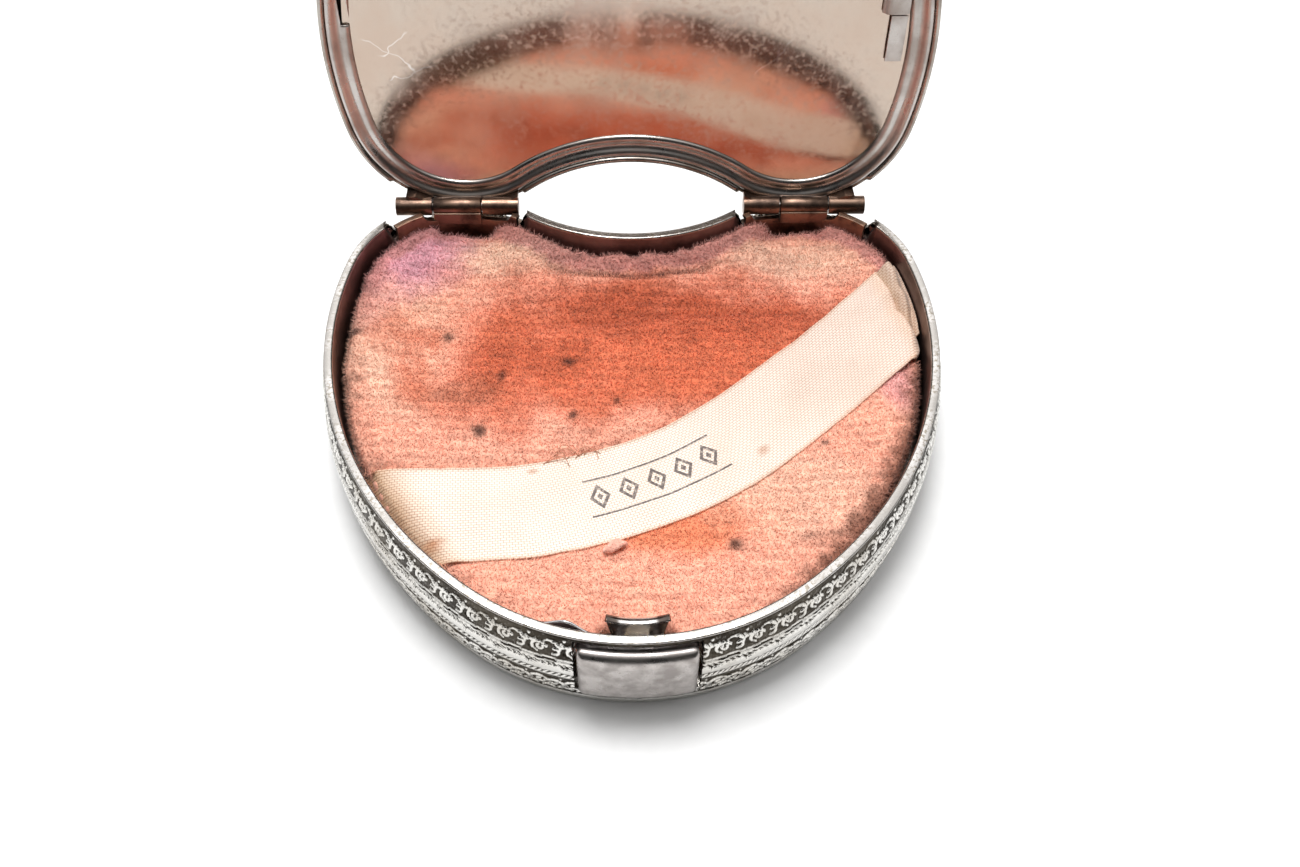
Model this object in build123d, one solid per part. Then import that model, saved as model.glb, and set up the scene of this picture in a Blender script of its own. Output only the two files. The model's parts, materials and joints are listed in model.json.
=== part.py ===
from build123d import *
import math
import os

# Heart-shaped powder compact, open. Millimetres and degrees. The origin is the middle of the
# face it rests on, +X to the right, +Y towards the hinges, +Z up.

# Heart outline of the rim, half of it, walked from the front tip: four arcs that run into
# each other. The last one, the cleft, closes the outline on the middle line.
NOSE_R, NOSE_TURN = 23.3, 36.6
FLANK_R, FLANK_TURN = 37.4, 66.0
LOBE_R, LOBE_TURN = 11.4, 112.5
CLEFT_TURN = NOSE_TURN + FLANK_TURN + LOBE_TURN - 180

BASE_H = 10.0
BAND_BULGE = 0.8
BAND_T = 0.45
COLLAR_T = 0.35
RIM_FLANGE = 0.25
BOTTOM_T = 0.5

PAN_GAP = 2.2
PAN_T = 0.3
PAN_TOP = 3.4
PAN_FRONT_Y = -22.4

PUFF_GAP = 1.4
PUFF_SKIN = 0.8
PUFF_BOTTOM, PUFF_SEAM, PUFF_TOP = 3.5, 5.0, 7.4
PUFF_EDGE = 0.7
PUFF_CLEARANCE = 0.6
RIBBON_W, RIBBON_T = 9.8, 0.25
RIBBON_START_X, RIBBON_START_Y = -26.1, -11.9
RIBBON_HEADING, RIBBON_TURN, RIBBON_BEND_R = 4.0, 37.0, 41.0
RIBBON_LEFT_RUN, RIBBON_RIGHT_RUN = 14.2, 21.5

LID_OPEN = 96.6
LID_GAP = 0.1
LID_H = 4.5
LID_T = 0.5
LID_BULGE = 0.3
MIRROR_GAP = 2.0
MIRROR_Z, MIRROR_T = 10.95, 1.2
LID_SHOULDER = 1.6
CARD_T = 0.5
BEZEL_T = 0.25
BEZEL_SLOT_X, BEZEL_SLOT_Y = (-27.0, -26.3), (0, 6)
CLIP_X, CLIP_Y, CLIP_T, CLIP_LIFT = (23.5, 25.9), (-0.5, 4.6), 0.2, 0.35
STRIP_X, STRIP_Y, STRIP_T, STRIP_LIFT = (24.5, 26.2), (5.0, 9.5), 0.1, 0.4
STRIKER_W, STRIKER_T = 6.0, 0.3

HINGE_X = 18.0
HINGE_INSET, HINGE_DROP = 0.55, 0.6
HINGE_LENGTH, MIDDLE_KNUCKLE = 12.6, 5.0
KNUCKLE_R, PIN_R = 0.95, 0.45
PIN_CLEARANCE = 0.05
KNUCKLE_GAP = 0.1
LEAF_INSET, LEAF_T, LEAF_BOTTOM = 1.31, 0.4, 5.2
NOTCH_Z, NOTCH_SLANT = 7.8, 0.7
NOTCH_INNER_ROOM, NOTCH_OUTER_ROOM = 0.5, 0.3

BUTTON_W, BUTTON_H = 9.7, 6.5
BUTTON_BOTTOM = 2.5
BUTTON_PROUD = 1.25
BUTTON_GAP = 0.35
BUTTON_EDGE = 0.6
CATCH_W, CATCH_T = 4.9, 0.5
CATCH_FRONT_Y = -24.2
CATCH_BOTTOM, CATCH_TOP = 3.2, 10.8
CATCH_NOSE, CATCH_NOSE_T = 0.6, 0.3
CATCH_ROOM = 0.8
PRESS_TRAVEL = 0.6
RIVET_X, RIVET_Z = 1.5, 5.2
RIVET_R, RIVET_HEAD_R, RIVET_HEAD_T = 0.5, 0.8, 0.3
SPRING_OFFSET, SPRING_T = 0.95, 0.2
SPRING_HALF, SPRING_LOW, SPRING_HIGH = 9.0, 6.4, 9.7
SPRING_TONGUE_HALF, SPRING_TONGUE_LOW = 3.0, 4.2
SPRING_HOLE_R = 0.65
SPRING_RIVET_X, SPRING_RIVET_Z, SPRING_RIVET_R = 8.0, 8.0, 0.4

# Worked out from the outline
TURN_1 = math.radians(NOSE_TURN)
TURN_2 = math.radians(NOSE_TURN + FLANK_TURN)
CLEFT_ANGLE = math.radians(CLEFT_TURN)
LENGTH = (
    NOSE_R * (1 - math.cos(TURN_1))
    + FLANK_R * (math.cos(TURN_1) - math.cos(TURN_2))
    + LOBE_R * (math.cos(TURN_2) + 1)
)
LOBE_END_X = (
    NOSE_R * math.sin(TURN_1)
    + FLANK_R * (math.sin(TURN_2) - math.sin(TURN_1))
    - LOBE_R * (math.sin(CLEFT_ANGLE) + math.sin(TURN_2))
)
CLEFT_R = LOBE_END_X / math.sin(CLEFT_ANGLE)
TIP_Y = -LENGTH / 2
BACK_Y = LENGTH / 2
HINGE_Y, HINGE_Z = BACK_Y - HINGE_INSET, BASE_H - HINGE_DROP
LID_Z = BASE_H + LID_GAP
LID_TOP = LID_Z + LID_H
COLLAR_INSIDE = -BAND_T - COLLAR_T
RIVET_BACK_Y = TIP_Y - 0.2
BIG = 80.0


def heart_wire(out=0.0, z=0.0):
    """The rim outline moved outwards by out, at height z."""
    nose = JernArc((0, TIP_Y - out), (1, 0), NOSE_R + out, NOSE_TURN)
    flank = JernArc(nose @ 1, nose % 1, FLANK_R + out, FLANK_TURN)
    lobe = JernArc(flank @ 1, flank % 1, LOBE_R + out, LOBE_TURN)
    cleft = JernArc(lobe @ 1, lobe % 1, CLEFT_R - out, -CLEFT_TURN)
    right = [nose, flank, lobe, cleft]
    left = [mirror(arc, about=Plane.YZ) for arc in right]
    return Pos(0, 0, z) * Wire([arc.edge() for arc in right + left])


def heart_plate(out, low, high):
    return extrude(make_face(heart_wire(out, low)), amount=high - low)


def heart_ring(outer, inner, low, high):
    return heart_plate(outer, low, high) - heart_plate(inner, low - 1, high + 1)


def swept_ring(profile):
    """A closed section, drawn as (outwards, height), carried round the heart."""
    section = Plane((0, TIP_Y, 0), x_dir=(0, -1, 0), z_dir=(-1, 0, 0)) * profile
    return sweep(section, path=heart_wire())


def block(x, y, z):
    """A box given by its low and high value along each axis."""
    size = [high - low for low, high in (x, y, z)]
    middle = [(high + low) / 2 for low, high in (x, y, z)]
    return Pos(*middle) * Box(*size)


def both_sides(x_low, x_high, y, z):
    return block((x_low, x_high), y, z) + block((-x_high, -x_low), y, z)


def rod(radius, start, end):
    start, end = Vector(*start), Vector(*end)
    along = end - start
    return Plane(start, z_dir=along) * Cylinder(
        radius, along.length, align=(Align.CENTER, Align.CENTER, Align.MIN)
    )


def opened(shape):
    """Turns a piece drawn on the closed lid to the open lid."""
    return shape.rotate(Axis((0, HINGE_Y, HINGE_Z), (1, 0, 0)), -LID_OPEN)


def hinge_notches(low, high, spread):
    """Slant-ended cut-outs over both hinges, from height low to high."""
    near = HINGE_X - HINGE_LENGTH / 2 - NOTCH_INNER_ROOM
    far = HINGE_X + HINGE_LENGTH / 2 + NOTCH_OUTER_ROOM
    corners = [(near, low), (far, low), (far + spread, high), (near - spread, high)]
    notches = []
    for side in (1, -1):
        face = make_face(Polyline([(side * x, z) for x, z in corners], close=True))
        notches.append(Pos(0, BACK_Y + 5, 0) * extrude(Plane.XZ * face, amount=15))
    return notches[0] + notches[1]


def button_window(gap, low_gap, high_gap):
    half = BUTTON_W / 2 + gap
    return block(
        (-half, half),
        (TIP_Y - 3, TIP_Y + 3),
        (BUTTON_BOTTOM - low_gap, BUTTON_BOTTOM + BUTTON_H + high_gap),
    )


# Base

def bottom_plate():
    return heart_plate(-BAND_T, 0, BOTTOM_T)


def side_band():
    """Convex strip round the base, with the button's window and room for the hinges."""
    top = BASE_H - RIM_FLANGE
    bottom_out, top_out = 0.35, 0.1
    foot = Line((-BAND_T, 0), (0, 0))
    roll = ThreePointArc((0, 0), (0.25, 0.1), (bottom_out, 0.4))
    belly = ThreePointArc((bottom_out, 0.4), (BAND_BULGE, BASE_H / 2), (top_out, top))
    back = Polyline((top_out, top), (-BAND_T, top), (-BAND_T, 0))
    band = swept_ring(make_face([foot, roll, belly, back]))
    band -= button_window(BUTTON_GAP, 0.2, BUTTON_GAP)
    return band - hinge_notches(NOTCH_Z, BASE_H + 1, NOTCH_SLANT)


def inner_collar():
    """Smooth strip inside the band, its flange the bright rim that the lid closes on."""
    flange_z = BASE_H - RIM_FLANGE
    outline = [
        (-BAND_T, BOTTOM_T),
        (-BAND_T, flange_z),
        (0, flange_z),
        (0, BASE_H),
        (COLLAR_INSIDE, BASE_H),
        (COLLAR_INSIDE, BOTTOM_T),
    ]
    collar = swept_ring(make_face(Polyline(outline, close=True)))
    collar -= button_window(BUTTON_GAP, 0.2, BUTTON_GAP - 0.1)
    return collar - hinge_notches(NOTCH_Z, BASE_H + 1, NOTCH_SLANT)


def powder_pan():
    shape = heart_plate(-PAN_GAP, BOTTOM_T, PAN_TOP)
    hollow = heart_plate(-PAN_GAP - PAN_T, BOTTOM_T + PAN_T, PAN_TOP + 1)
    kept = block((-BIG, BIG), (PAN_FRONT_Y, BIG), (0, BIG))
    return (shape & kept) - (hollow & kept.moved(Pos(0, PAN_T, 0)))


def powder_cake():
    cake = heart_plate(-PAN_GAP - PAN_T, BOTTOM_T + PAN_T, PAN_TOP - 0.4)
    return cake & block((-BIG, BIG), (PAN_FRONT_Y + PAN_T, BIG), (0, BIG))


# Puff

def puff_shape(inwards, low, high):
    """Heart slab of the puff, cut round the catch and the hinge leaves."""
    half = CATCH_W / 2 + CATCH_ROOM + inwards
    catch_y = CATCH_FRONT_Y + CATCH_T + PRESS_TRAVEL + PUFF_CLEARANCE + inwards
    catch = block((-half, half), (-BIG, catch_y), (0, BIG))
    leaf_half = MIDDLE_KNUCKLE / 2 + 0.4 + inwards
    leaf_y = HINGE_Y - LEAF_INSET - 0.3 - inwards
    leaf = both_sides(HINGE_X - leaf_half, HINGE_X + leaf_half, (leaf_y, BIG), (0, BIG))
    return heart_plate(-PUFF_GAP - inwards, low, high) - catch - leaf


def puff_filling():
    return puff_shape(PUFF_SKIN, PUFF_BOTTOM + PUFF_SKIN, PUFF_TOP - PUFF_SKIN)


def puff_face():
    """Upper pile cloth with its side."""
    body = puff_shape(0, PUFF_SEAM, PUFF_TOP)
    body = chamfer(body.faces().sort_by(Axis.Z)[-1].edges(), PUFF_EDGE)
    return body - puff_shape(PUFF_SKIN, 0, PUFF_TOP - PUFF_SKIN)


def puff_underside():
    body = puff_shape(0, PUFF_BOTTOM, PUFF_SEAM)
    return body - puff_shape(PUFF_SKIN, PUFF_BOTTOM + PUFF_SKIN, BIG)


def ribbon_side(offset):
    """One edge of the strap: straight from the left, round a gentle bend, straight to the right."""
    middle = Vector(RIBBON_START_X, RIBBON_START_Y)
    start = middle + Vector(0, offset).rotate(Axis.Z, RIBBON_HEADING)
    first = PolarLine(start, RIBBON_LEFT_RUN, RIBBON_HEADING)
    bend = JernArc(first @ 1, first % 1, RIBBON_BEND_R - offset, RIBBON_TURN)
    last = PolarLine(bend @ 1, RIBBON_RIGHT_RUN, RIBBON_HEADING + RIBBON_TURN)
    return [first, bend, last]


def puff_ribbon():
    right_edge, left_edge = ribbon_side(-RIBBON_W / 2), ribbon_side(RIBBON_W / 2)
    ends = [
        Line(right_edge[0] @ 0, left_edge[0] @ 0),
        Line(right_edge[2] @ 1, left_edge[2] @ 1),
    ]
    strap = extrude(make_face(right_edge + left_edge + ends), amount=RIBBON_T)
    return Pos(0, 0, PUFF_TOP) * strap & heart_plate(-PUFF_GAP - 0.2, 0, BIG)


# Hinges

def tube(x_low, x_high, bore):
    low, high = (x_low, HINGE_Y, HINGE_Z), (x_high, HINGE_Y, HINGE_Z)
    return rod(KNUCKLE_R, low, high) - rod(bore, low, high)


def base_knuckle(side):
    """Middle knuckle with the leaf that holds it inside the collar."""
    low = side * HINGE_X - MIDDLE_KNUCKLE / 2
    high = low + MIDDLE_KNUCKLE
    leaf_y = HINGE_Y - LEAF_INSET
    leaf_top = HINGE_Z + 0.3
    leaf = block((low, high), (leaf_y, leaf_y + LEAF_T), (LEAF_BOTTOM, leaf_top))
    bridge = block((low, high), (leaf_y, HINGE_Y - 0.6), (HINGE_Z - 0.5, leaf_top))
    solid = tube(low, high, PIN_R + PIN_CLEARANCE) + leaf + bridge
    return solid - heart_ring(2, COLLAR_INSIDE - 0.02, 0, NOTCH_Z + 0.02)


def lid_knuckles(side):
    """The two outer knuckles, each with the short skirt that holds it to the lid's wall."""
    middle = side * HINGE_X
    inner, outer = MIDDLE_KNUCKLE / 2 + KNUCKLE_GAP, HINGE_LENGTH / 2
    pieces = []
    for low, high in ((middle - outer, middle - inner), (middle + inner, middle + outer)):
        skirt = heart_ring(0, -LID_T, HINGE_Z - 0.3, LID_Z + 0.5)
        skirt &= block((low, high), (0, BIG), (0, BIG))
        near = block((low, high), (HINGE_Y - 1.3, HINGE_Y + 1), (0, BIG))
        knuckle = tube(low, high, PIN_R) + (skirt & near)
        bore = rod(PIN_R, (low - 1, HINGE_Y, HINGE_Z), (high + 1, HINGE_Y, HINGE_Z))
        pieces.append(opened(knuckle - bore))
    return Compound(children=pieces)


def hinge_pin(side):
    low = side * HINGE_X - HINGE_LENGTH / 2
    return opened(rod(PIN_R, (low, HINGE_Y, HINGE_Z), (low + HINGE_LENGTH, HINGE_Y, HINGE_Z)))


# Lid, drawn closed

def lid_shell():
    wall = [
        Line((-LID_T, LID_Z), (0, LID_Z)),
        ThreePointArc((0, LID_Z), (LID_BULGE, LID_Z + 1.6), (0, LID_Z + 3.2)),
        ThreePointArc((0, LID_Z + 3.2), (-0.55, LID_Z + 4.1), (-LID_SHOULDER, LID_TOP)),
        Polyline(
            (-LID_SHOULDER, LID_TOP),
            (-LID_SHOULDER, LID_TOP - LID_T),
            (-LID_T - 0.4, LID_Z + 3.2),
            (-LID_T, LID_Z + 2.6),
            (-LID_T, LID_Z),
        ),
    ]
    top = heart_plate(-LID_SHOULDER, LID_TOP - LID_T, LID_TOP)
    shell = swept_ring(make_face(wall)) + top
    return opened(shell - hinge_notches(LID_Z - 1, LID_Z + 0.5, 0))


def mirror_glass():
    return opened(heart_plate(-MIRROR_GAP, MIRROR_Z, MIRROR_Z + MIRROR_T))


def mirror_backing_card():
    back = MIRROR_Z + MIRROR_T
    return opened(heart_plate(-MIRROR_GAP, back, back + CARD_T))


def mirror_bezel():
    """Pressed strip that holds the mirror: a lip at the wall, a hollow, and a rolled inner edge."""
    low = MIRROR_Z - BEZEL_T
    upper = [(-0.55, low - 0.1), (-1.2, low), (-1.9, low - 0.15), (-2.5, low)]
    lower = [(out, z + BEZEL_T) for out, z in reversed(upper)]
    lower[0] = (upper[-1][0], MIRROR_Z)
    ring = swept_ring(make_face(Polyline(upper + lower, close=True)))
    ring &= block((-BIG, BIG), (-BIG, BIG), (0, MIRROR_Z)) + heart_ring(
        1, -MIRROR_GAP + 0.02, MIRROR_Z - 1, MIRROR_Z + 1
    )
    half = CATCH_W / 2 + CATCH_ROOM
    ring -= block((-half, half), (-BIG, CATCH_FRONT_Y + 2), (0, BIG))
    ring -= block(BEZEL_SLOT_X, BEZEL_SLOT_Y, (0, BIG))
    return opened(ring)


def mirror_clip():
    """Tab folded over the right edge of the mirror."""
    leaf_z = MIRROR_Z - CLIP_LIFT
    inner = CLIP_X[0]
    leaf = block(CLIP_X, CLIP_Y, (leaf_z - CLIP_T, leaf_z))
    fold = block((inner, inner + 1.5 * CLIP_T), CLIP_Y, (leaf_z - CLIP_T, MIRROR_Z))
    return opened(leaf + fold)


def bezel_end_strip():
    """Flattened end of the bezel beside the tab."""
    top = MIRROR_Z - STRIP_LIFT
    return opened(block(STRIP_X, STRIP_Y, (top - STRIP_T, top)))


def lid_striker():
    """Lip inside the front of the lid that the catch hooks over."""
    half = STRIKER_W / 2
    lip = block((-half, half), (TIP_Y - 1, CATCH_FRONT_Y - 0.3), (LID_Z, LID_Z + STRIKER_T))
    return opened(lip & heart_plate(-LID_T, 0, BIG))


# Latch

def latch_button():
    low, high = BUTTON_BOTTOM, BUTTON_BOTTOM + BUTTON_H
    half = BUTTON_W / 2
    face = heart_plate(BUTTON_PROUD, low, high)
    cap = face & block((-half, half), (-BIG, TIP_Y + 0.45), (low, high))
    front = cap.edges().filter_by(lambda e: e.center().Y < TIP_Y - 0.4)
    cap = fillet(front.group_by(Axis.Z)[-1] + front.group_by(Axis.Z)[0], BUTTON_EDGE)
    for x in (-RIVET_X, RIVET_X):
        cap -= rod(RIVET_R, (x, RIVET_BACK_Y, RIVET_Z), (x, TIP_Y + 1, RIVET_Z))
    return cap


def latch_catch():
    """Lug behind the rim, its top bent towards the front."""
    half = CATCH_W / 2
    back = CATCH_FRONT_Y + CATCH_T
    nose_z = (CATCH_TOP - CATCH_NOSE_T, CATCH_TOP)
    lug = block((-half, half), (CATCH_FRONT_Y, back), (CATCH_BOTTOM, CATCH_TOP))
    lug += block((-half, half), (CATCH_FRONT_Y - CATCH_NOSE, back), nose_z)
    for x in (-RIVET_X, RIVET_X):
        lug -= rod(RIVET_R, (x, CATCH_FRONT_Y - 1, RIVET_Z), (x, back + 1, RIVET_Z))
    return lug


def latch_rivets():
    back = CATCH_FRONT_Y + CATCH_T
    rivets = []
    for x in (-RIVET_X, RIVET_X):
        shank = rod(RIVET_R, (x, RIVET_BACK_Y, RIVET_Z), (x, back, RIVET_Z))
        head = rod(RIVET_HEAD_R, (x, back, RIVET_Z), (x, back + RIVET_HEAD_T, RIVET_Z))
        rivets.append(shank + head)
    return Compound(children=rivets)


def latch_spring():
    """Leaf along the inside of the collar, behind the button."""
    wide, narrow = SPRING_HALF, SPRING_TONGUE_HALF
    outer, inner = -SPRING_OFFSET, -SPRING_OFFSET - SPRING_T
    strip = heart_ring(outer, inner, SPRING_LOW, SPRING_HIGH)
    tongue = heart_ring(outer, inner, SPRING_TONGUE_LOW, SPRING_LOW + 0.2)
    leaf = strip & block((-wide, wide), (-BIG, 0), (0, BIG))
    leaf += tongue & block((-narrow, narrow), (-BIG, 0), (0, BIG))
    for x in (-RIVET_X, RIVET_X):
        leaf -= rod(SPRING_HOLE_R, (x, TIP_Y, RIVET_Z), (x, TIP_Y + 3, RIVET_Z))
    for side in (-1, 1):
        leaf -= spring_shank(side)
    return leaf


def spring_shank(side):
    x, z = side * SPRING_RIVET_X, SPRING_RIVET_Z
    return rod(SPRING_RIVET_R, (x, TIP_Y - 2, z), (x, TIP_Y + 6, z))


def spring_rivets():
    between = heart_ring(COLLAR_INSIDE, -SPRING_OFFSET - SPRING_T - 0.15, 0, BASE_H)
    return Compound(children=[spring_shank(side) & between for side in (-1, 1)])


NODES = {
    "bottom_plate": bottom_plate,
    "side_band": side_band,
    "inner_collar": inner_collar,
    "powder_pan": powder_pan,
    "powder_cake": powder_cake,
    "puff_filling": puff_filling,
    "puff_face": puff_face,
    "puff_underside": puff_underside,
    "puff_ribbon": puff_ribbon,
    "hinge_left_base_knuckle": lambda: base_knuckle(-1),
    "hinge_right_base_knuckle": lambda: base_knuckle(1),
    "hinge_left_lid_knuckles": lambda: lid_knuckles(-1),
    "hinge_right_lid_knuckles": lambda: lid_knuckles(1),
    "hinge_left_pin": lambda: hinge_pin(-1),
    "hinge_right_pin": lambda: hinge_pin(1),
    "lid_shell": lid_shell,
    "mirror_glass": mirror_glass,
    "mirror_backing_card": mirror_backing_card,
    "mirror_bezel": mirror_bezel,
    "mirror_clip": mirror_clip,
    "bezel_end_strip": bezel_end_strip,
    "lid_striker": lid_striker,
    "latch_button": latch_button,
    "latch_catch": latch_catch,
    "latch_rivets": latch_rivets,
    "latch_spring": latch_spring,
    "spring_rivets": spring_rivets,
}

os.makedirs("parts", exist_ok=True)
for name, build in NODES.items():
    export_step(build(), f"parts/{name}.step")
print("width", 2 * (NOSE_R * math.sin(TURN_1) + FLANK_R * (1 - math.sin(TURN_1))))
print("length", LENGTH, "hinge", HINGE_Y, HINGE_Z, "cleft radius", CLEFT_R)
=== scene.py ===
import json
import math

import bmesh
import bpy
import numpy as np
from mathutils import Matrix, Vector, geometry, noise
from mathutils.bvhtree import BVHTree


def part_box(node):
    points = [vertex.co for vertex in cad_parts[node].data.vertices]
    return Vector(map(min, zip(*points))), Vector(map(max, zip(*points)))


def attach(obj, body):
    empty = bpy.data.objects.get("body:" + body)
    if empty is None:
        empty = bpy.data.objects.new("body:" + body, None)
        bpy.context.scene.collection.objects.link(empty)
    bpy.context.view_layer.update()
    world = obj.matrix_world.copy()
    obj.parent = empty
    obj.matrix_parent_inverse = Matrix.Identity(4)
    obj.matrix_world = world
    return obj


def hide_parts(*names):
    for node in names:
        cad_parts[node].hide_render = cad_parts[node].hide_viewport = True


# Looks of the open heart-shaped powder compact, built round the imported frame. The helpers work in
# millimetres, and mesh_piece turns them into metres. Every finished piece sits at the origin.

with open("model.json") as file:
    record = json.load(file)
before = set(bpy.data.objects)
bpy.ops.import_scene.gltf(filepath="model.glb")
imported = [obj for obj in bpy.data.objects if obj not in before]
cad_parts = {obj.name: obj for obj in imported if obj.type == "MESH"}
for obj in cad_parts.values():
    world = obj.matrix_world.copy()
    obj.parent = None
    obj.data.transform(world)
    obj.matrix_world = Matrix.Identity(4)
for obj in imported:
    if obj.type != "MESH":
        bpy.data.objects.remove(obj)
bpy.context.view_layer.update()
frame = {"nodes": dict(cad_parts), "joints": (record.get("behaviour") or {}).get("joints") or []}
MM = 0.001


def box_of(node):
    """Lowest and highest corner of a CAD node."""
    return [np.array(corner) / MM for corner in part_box(node)]


# Sizes of the case that the frame gives
LOW, HIGH = box_of("inner_collar")
TIP_Y, RIM_Z = LOW[1], HIGH[2]
LID_JOINT = next(j for j in frame["joints"] if j["name"] == "lid_hinge")
HINGE_Y, HINGE_Z = (value / MM for value in LID_JOINT["pos_m"][1:])
LID_TURN = math.radians(LID_JOINT["range_deg"][1])

# Heart outline of the rim: radius and turn of the arcs of its right half, from the front tip
RIM_ARCS = ((23.3, 36.6), (37.4, 66.0), (11.4, 112.5))
BAND_T, COLLAR_T, RIM_FLANGE = 0.45, 0.35, 0.25
BAND_FOOT_OUT, BAND_BELLY_OUT, BAND_TOP_OUT = 0.35, 0.8, 0.1


# Outline ---------------------------------------------------------------------------------------

def outline_arcs():
    """Centre, first heading, signed radius and length of each arc of the right half."""
    arcs, point, heading = [], np.array([0.0, TIP_Y]), 0.0
    for radius, turn in RIM_ARCS:
        centre = point + radius * np.array([-math.sin(heading), math.cos(heading)])
        arcs.append((centre, heading, radius, radius * math.radians(turn)))
        heading += math.radians(turn)
        point = centre + radius * np.array([math.sin(heading), -math.cos(heading)])
    cleft_turn = heading - math.pi
    radius = point[0] / math.sin(cleft_turn)
    centre = point - radius * np.array([-math.sin(heading), math.cos(heading)])
    arcs.append((centre, heading, -radius, radius * cleft_turn))
    return arcs


ARCS = outline_arcs()
HALF = sum(arc[3] for arc in ARCS)


def rim(s):
    """Point and outward direction of the rim at a distance s from the tip, negative to the left."""
    s = (np.asarray(s, float) + HALF) % (2 * HALF) - HALF
    distance, start = np.abs(s), 0.0
    point, out = np.zeros((len(s), 2)), np.zeros((len(s), 2))
    for centre, heading, radius, length in ARCS:
        on = distance >= start - 1e-6
        angle = heading + (distance[on] - start) / radius
        out[on] = np.stack([np.sin(angle), -np.cos(angle)], 1)
        point[on] = centre + radius * out[on]
        start += length
    side = np.where(s < 0, -1.0, 1.0)
    point[:, 0] *= side
    out[:, 0] *= side
    return point, out


def along_rim(s, out, z):
    """Points at a distance out from the rim's outline, at height z."""
    point, away = rim(s)
    flat = point + away * np.broadcast_to(out, len(point))[:, None]
    return np.column_stack([flat, np.broadcast_to(z, len(point))])


def nearest(points, samples):
    """Which of the samples is nearest to each point, by x and y."""
    found = np.empty(len(points), int)
    for start in range(0, len(points), 4000):
        part = points[start:start + 4000, None, :2] - samples[None]
        found[start:start + 4000] = (part ** 2).sum(2).argmin(1)
    return found


RIM_SAMPLES, RIM_OUTWARDS = rim(np.linspace(-HALF, HALF, 900, endpoint=False))


def inside_rim(points):
    """How far inside the rim's outline each point is, and the outward direction there."""
    i = nearest(points, RIM_SAMPLES)
    away = RIM_OUTWARDS[i]
    return ((RIM_SAMPLES[i] - points[:, :2]) * away).sum(1), away


def opened(points):
    """Points drawn on the closed lid, turned to the open lid."""
    x, y, z = np.asarray(points, float).T
    dy, dz = y - HINGE_Y, z - HINGE_Z
    turned_y = HINGE_Y + dy * math.cos(LID_TURN) + dz * math.sin(LID_TURN)
    turned_z = HINGE_Z - dy * math.sin(LID_TURN) + dz * math.cos(LID_TURN)
    return np.column_stack([x, turned_y, turned_z])


def lumps(points, size, seed=0.0):
    """Smooth noise from -1 to 1 at each point."""
    shift = Vector((seed * 7.3, seed * 3.1, seed * 5.7))
    return np.array([noise.noise(Vector(p) / size + shift) for p in points])


def smooth(value, low, high):
    t = np.clip((value - low) / (high - low), 0, 1)
    return t * t * (3 - 2 * t)


# Meshes ----------------------------------------------------------------------------------------

def grid_faces(rows, columns, wrap_rows=False, wrap_columns=False):
    i = np.arange(rows if wrap_rows else rows - 1)
    j = np.arange(columns if wrap_columns else columns - 1)
    i, j = (a.ravel() for a in np.meshgrid(i, j, indexing="ij"))
    ni, nj = (i + 1) % rows, (j + 1) % columns
    corners = [i * columns + j, ni * columns + j, ni * columns + nj, i * columns + nj]
    return np.stack(corners, 1)


def capped_faces(rows, columns):
    """Faces of a closed form: rings of points one after another, with a cap on each end."""
    faces = [tuple(f) for f in grid_faces(rows, columns, wrap_columns=True).tolist()]
    last = (rows - 1) * columns
    return faces + [tuple(range(columns)), tuple(range(last, last + columns))[::-1]]


def new_object(name, data):
    made = bpy.data.objects.new(name, data)
    bpy.context.scene.collection.objects.link(made)
    return made


def mesh_piece(name, points, faces, material, recalculate=False):
    """A new smooth object from points in millimetres."""
    mesh = bpy.data.meshes.new(name)
    if isinstance(faces, np.ndarray):
        faces = faces.tolist()
    mesh.from_pydata((np.asarray(points, float) * MM).tolist(), [], faces)
    mesh.materials.append(material)
    mesh.polygons.foreach_set("use_smooth", [True] * len(mesh.polygons))
    piece = new_object(name, mesh)
    if recalculate:
        tidy_normals(mesh)
    mesh.update()
    return piece


def tidy_normals(mesh):
    work = bmesh.new()
    work.from_mesh(mesh)
    bmesh.ops.remove_doubles(work, verts=work.verts, dist=1e-7)
    bmesh.ops.recalc_face_normals(work, faces=work.faces)
    work.to_mesh(mesh)
    work.free()


def hold_values(piece, name, values):
    """Keeps a number, a vector or a colour for each point of a piece, for its finish to read."""
    values = np.asarray(values, np.float32)
    width = values.shape[1] if values.ndim > 1 else 1
    kind, part = {1: ("FLOAT", "value"), 3: ("FLOAT_VECTOR", "vector"), 4: ("FLOAT_COLOR", "color")}[width]
    held = piece.data.attributes.new(name, kind, "POINT")
    held.data.foreach_set(part, np.ascontiguousarray(values).ravel())


def points_of(piece):
    points = np.empty(len(piece.data.vertices) * 3)
    piece.data.vertices.foreach_get("co", points)
    return points.reshape(-1, 3) / MM


def place_points(piece, points):
    piece.data.vertices.foreach_set("co", (np.asarray(points) * MM).ravel())
    piece.data.update()


def settled(piece):
    """Makes the result of a piece's modifiers its plain mesh."""
    shapes = bpy.context.evaluated_depsgraph_get()
    mesh = bpy.data.meshes.new_from_object(piece.evaluated_get(shapes))
    piece.modifiers.clear()
    piece.data = mesh
    return piece


def walled(piece, thickness, offset):
    """Gives a sheet its thickness: outside it at offset 1, inside it at -1, on both sides at 0."""
    wall = piece.modifiers.new("wall", "SOLIDIFY")
    wall.thickness, wall.offset = thickness * MM, offset
    return settled(piece)


def softened(piece, width, segments=3, angle=35):
    """Rounds a piece's sharp edges and keeps the faces between them flat."""
    bevel = piece.modifiers.new("edges", "BEVEL")
    bevel.width, bevel.segments = width * MM, segments
    bevel.limit_method, bevel.angle_limit = "ANGLE", math.radians(angle)
    bevel.harden_normals = True
    return settled(piece)


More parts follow.
